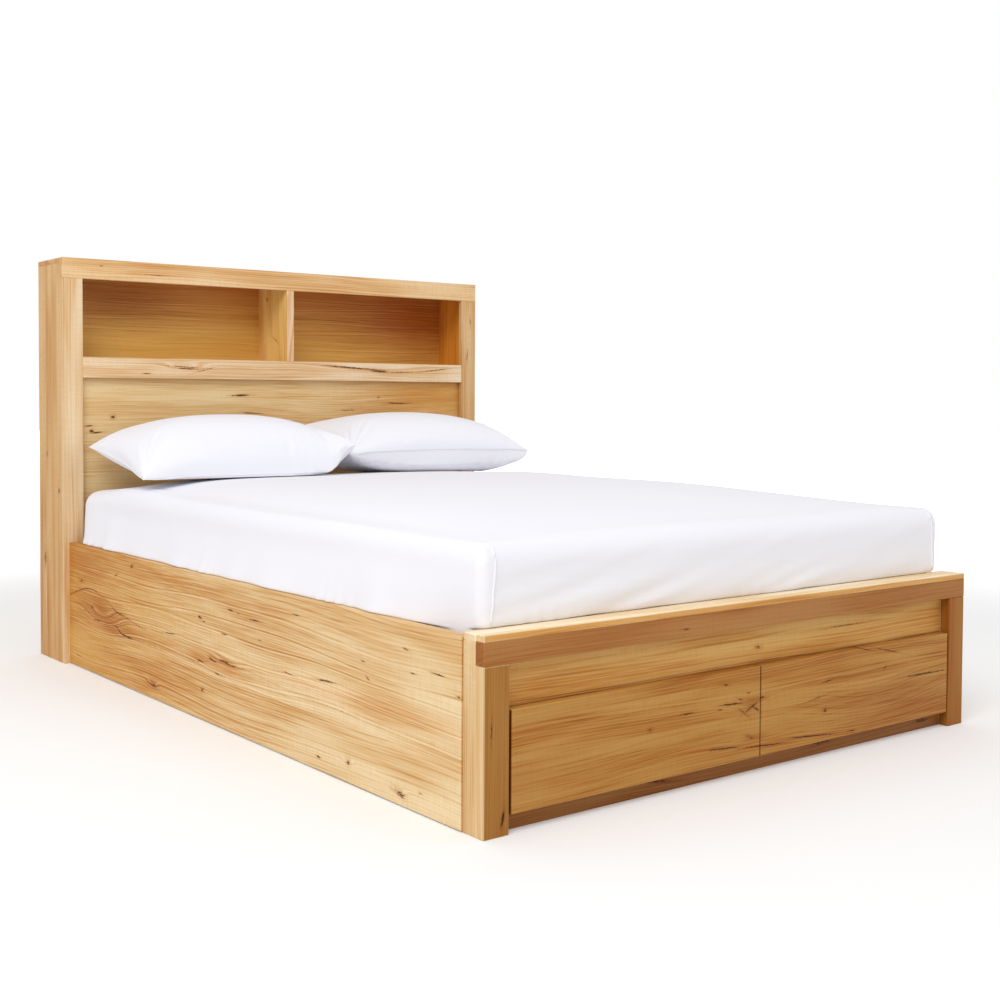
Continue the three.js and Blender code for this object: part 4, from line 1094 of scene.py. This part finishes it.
def pillow_half(s, t, pillow, side):
    """One half: height = seam + (crest - seam) * full, with full = (1-|s|^2.6)^p * (1-|t|^2.6)^q
    and p eased from the left to the right power; the lower half falls the same way and stops
    where it rests on the sheet."""
    along = HALF_LONG * s * (1 - DRAWN_IN[0] * (1 - t * t) * s * s)
    across = HALF_DEEP * t * (1 - DRAWN_IN[1] * (1 - s * s) * t * t)
    angle = math.radians(pillow["turn"])
    x = pillow["centre"][0] + along * math.cos(angle) - across * math.sin(angle)
    y = pillow["centre"][1] + along * math.sin(angle) + across * math.cos(angle)
    for hand, end, move_x, move_y, sharp in pillow["corners"]:
        near = ((1 + hand * s) / 2) ** sharp * ((1 + end * t) / 2) ** sharp
        x, y = x + move_x * near, y + move_y * near
    rest = resting(np.stack([x, y], -1), pillow)
    seam = np.maximum(seam_height(s, t, pillow), rest + 1)
    share = ease((s + 1) / 2)
    left, right, front = pillow["over"] if side > 0 else pillow["under"]
    full = np.maximum(0, 1 - np.abs(s) ** SEAM_FALL) ** (left * (1 - share) + right * share)
    full = full * np.maximum(0, 1 - np.abs(t) ** SEAM_FALL) ** front
    if side > 0:
        height = seam + (pillow["crest"] - seam) * full + gathers(s, t, pillow)
    else:
        height = np.maximum(rest, seam - (seam - rest + 6) * full)
    return np.stack([x, y, height], -1)


def seam_spread(steps):
    """Even steps * 0.45 - cosine steps * 0.55, from -1 to 1: they are closer together towards
    both ends, where a pillow curves most."""
    return 0.45 * np.linspace(-1, 1, steps + 1) - 0.55 * np.cos(np.linspace(0, math.pi, steps + 1))


pillow_s, pillow_t = np.meshgrid(seam_spread(PILLOW_STEPS[0]), seam_spread(PILLOW_STEPS[1]), indexing="ij")
on_seam = (np.abs(pillow_s) == 1) | (np.abs(pillow_t) == 1)
upper_index, inside = np.arange(on_seam.size), ~on_seam.ravel()
lower_index = np.where(inside, on_seam.size + np.cumsum(inside) - 1, upper_index)
one_side = grid_faces(*on_seam.shape, around=False)
pillow_faces = np.concatenate([one_side[:, ::-1], lower_index[one_side]]).tolist()
upper_index = upper_index.reshape(on_seam.shape)
print("pillow faces:", len(pillow_faces))

# %% [markdown]
# Folds drawn by hand look drawn, so the cloth's own folds come from a short simulation.
# The flat pattern that the case was cut to is its rest shape, its corners and the patch
# that it lies on are held, and air pressure stands for the filling. Sixteen frames let
# it settle. How far any point may move is capped, and none goes under the sheet.

# %% Pillow cloth
SPARE_CLOTH = 1.03
CLOTH_FRAMES = 16
CLOTH_CAP = 16.0
TOUCHING = 0.3
CLOTH = dict(
    quality=6, mass=0.005, air_damping=1.5, tension_stiffness=8, compression_stiffness=8,
    shear_stiffness=2, bending_stiffness=0.02, tension_damping=10, compression_damping=10,
    use_pressure=True, uniform_pressure_force=4.0, vertex_group_mass="held")


def both_halves(above, below):
    """The points of two grids as one list, without the lower one's seam, which the upper one has."""
    return np.concatenate([above.reshape(-1, 3), below.reshape(-1, 3)[inside]])


def flat_pattern(shape):
    """The cut: each grid line at the length that it has along the middle of the upper half."""
    upper = shape[:on_seam.size].reshape(*on_seam.shape, 3)
    sides = []
    for line in (upper[:, on_seam.shape[1] // 2], upper[on_seam.shape[0] // 2]):
        reach = np.concatenate([[0], np.cumsum(np.linalg.norm(np.diff(line, axis=0), axis=1))])
        sides.append((reach - reach[-1] / 2) * SPARE_CLOTH)
    u, v = np.meshgrid(*sides, indexing="ij")
    layer = np.where(on_seam, 0.0, 1.0)
    return both_halves(np.stack([u, v, layer], -1), np.stack([u, v, -layer], -1))


def settle(shape, pillow):
    """Runs the cloth on a throwaway copy and returns the settled points, in mm."""
    trial = make_piece("pillow_trial", shape, pillow_faces, pillow_cotton)
    held = shape[:, 2] < resting(shape, pillow) + TOUCHING
    held[:on_seam.size] = False
    held[upper_index[::on_seam.shape[0] - 1, ::on_seam.shape[1] - 1]] = True
    grip = trial.vertex_groups.new(name="held")
    grip.add(np.nonzero(held)[0].tolist(), 1.0, "REPLACE")
    trial.shape_key_add(name="filled")
    flat = trial.shape_key_add(name="flat")
    flat.data.foreach_set("co", (flat_pattern(shape) * MM).ravel())
    flat.value = 0
    cloth = trial.modifiers.new("cloth", "CLOTH")
    for setting, value in CLOTH.items():
        setattr(cloth.settings, setting, value)
    cloth.settings.rest_shape_key = flat
    cloth.settings.effector_weights.gravity = 0
    cloth.collision_settings.use_collision = False
    cloth.point_cache.frame_start, cloth.point_cache.frame_end = 1, CLOTH_FRAMES
    for frame_number in range(1, CLOTH_FRAMES + 1):
        scene.frame_set(frame_number)
    solved = trial.evaluated_get(bpy.context.evaluated_depsgraph_get())
    settled = np.empty(len(shape) * 3)
    solved.to_mesh().vertices.foreach_get("co", settled)
    solved.to_mesh_clear()
    bpy.data.objects.remove(trial)
    scene.frame_set(1)
    moved = settled.reshape(-1, 3) / MM - shape
    reach = np.linalg.norm(moved, axis=1, keepdims=True)
    print("cloth moved in mm, mean and most:", round(float(reach.mean()), 1), round(float(reach.max()), 1))
    settled = shape + moved * np.minimum(1, CLOTH_CAP / np.maximum(reach, 1e-9))
    settled[:, 2] = np.maximum(settled[:, 2], resting(settled, pillow))
    return settled


# %% [markdown]
# The seam round each pillow is turned cloth and thread, a little under three
# millimetres across. It is a cord along the pillow's own edge points, so it follows
# every gather.

# %% Pillowcases and their seams
PILLOW_SEAM = 1.3
rim = np.concatenate([upper_index[:, 0], upper_index[-1, 1:], upper_index[-2::-1, -1],
                      upper_index[0, -2:0:-1]])
for name, pillow in pillows.items():
    shape = both_halves(*[pillow_half(pillow_s, pillow_t, pillow, side) for side in (1, -1)])
    shape = settle(shape, pillow)
    case = make_piece(name + "_case", shape, pillow_faces, pillow_cotton)
    finer = case.modifiers.new("finer", "SUBSURF")
    finer.levels = finer.render_levels = 1
    points, faces = tube(shape[rim], PILLOW_SEAM, closed=True)
    seam = make_piece(name + "_seam", points, faces, pillow_cotton)
    for piece in (case, seam):
        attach(piece, "bed_frame")
    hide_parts(name)
    print(name, "case points:", len(shape))
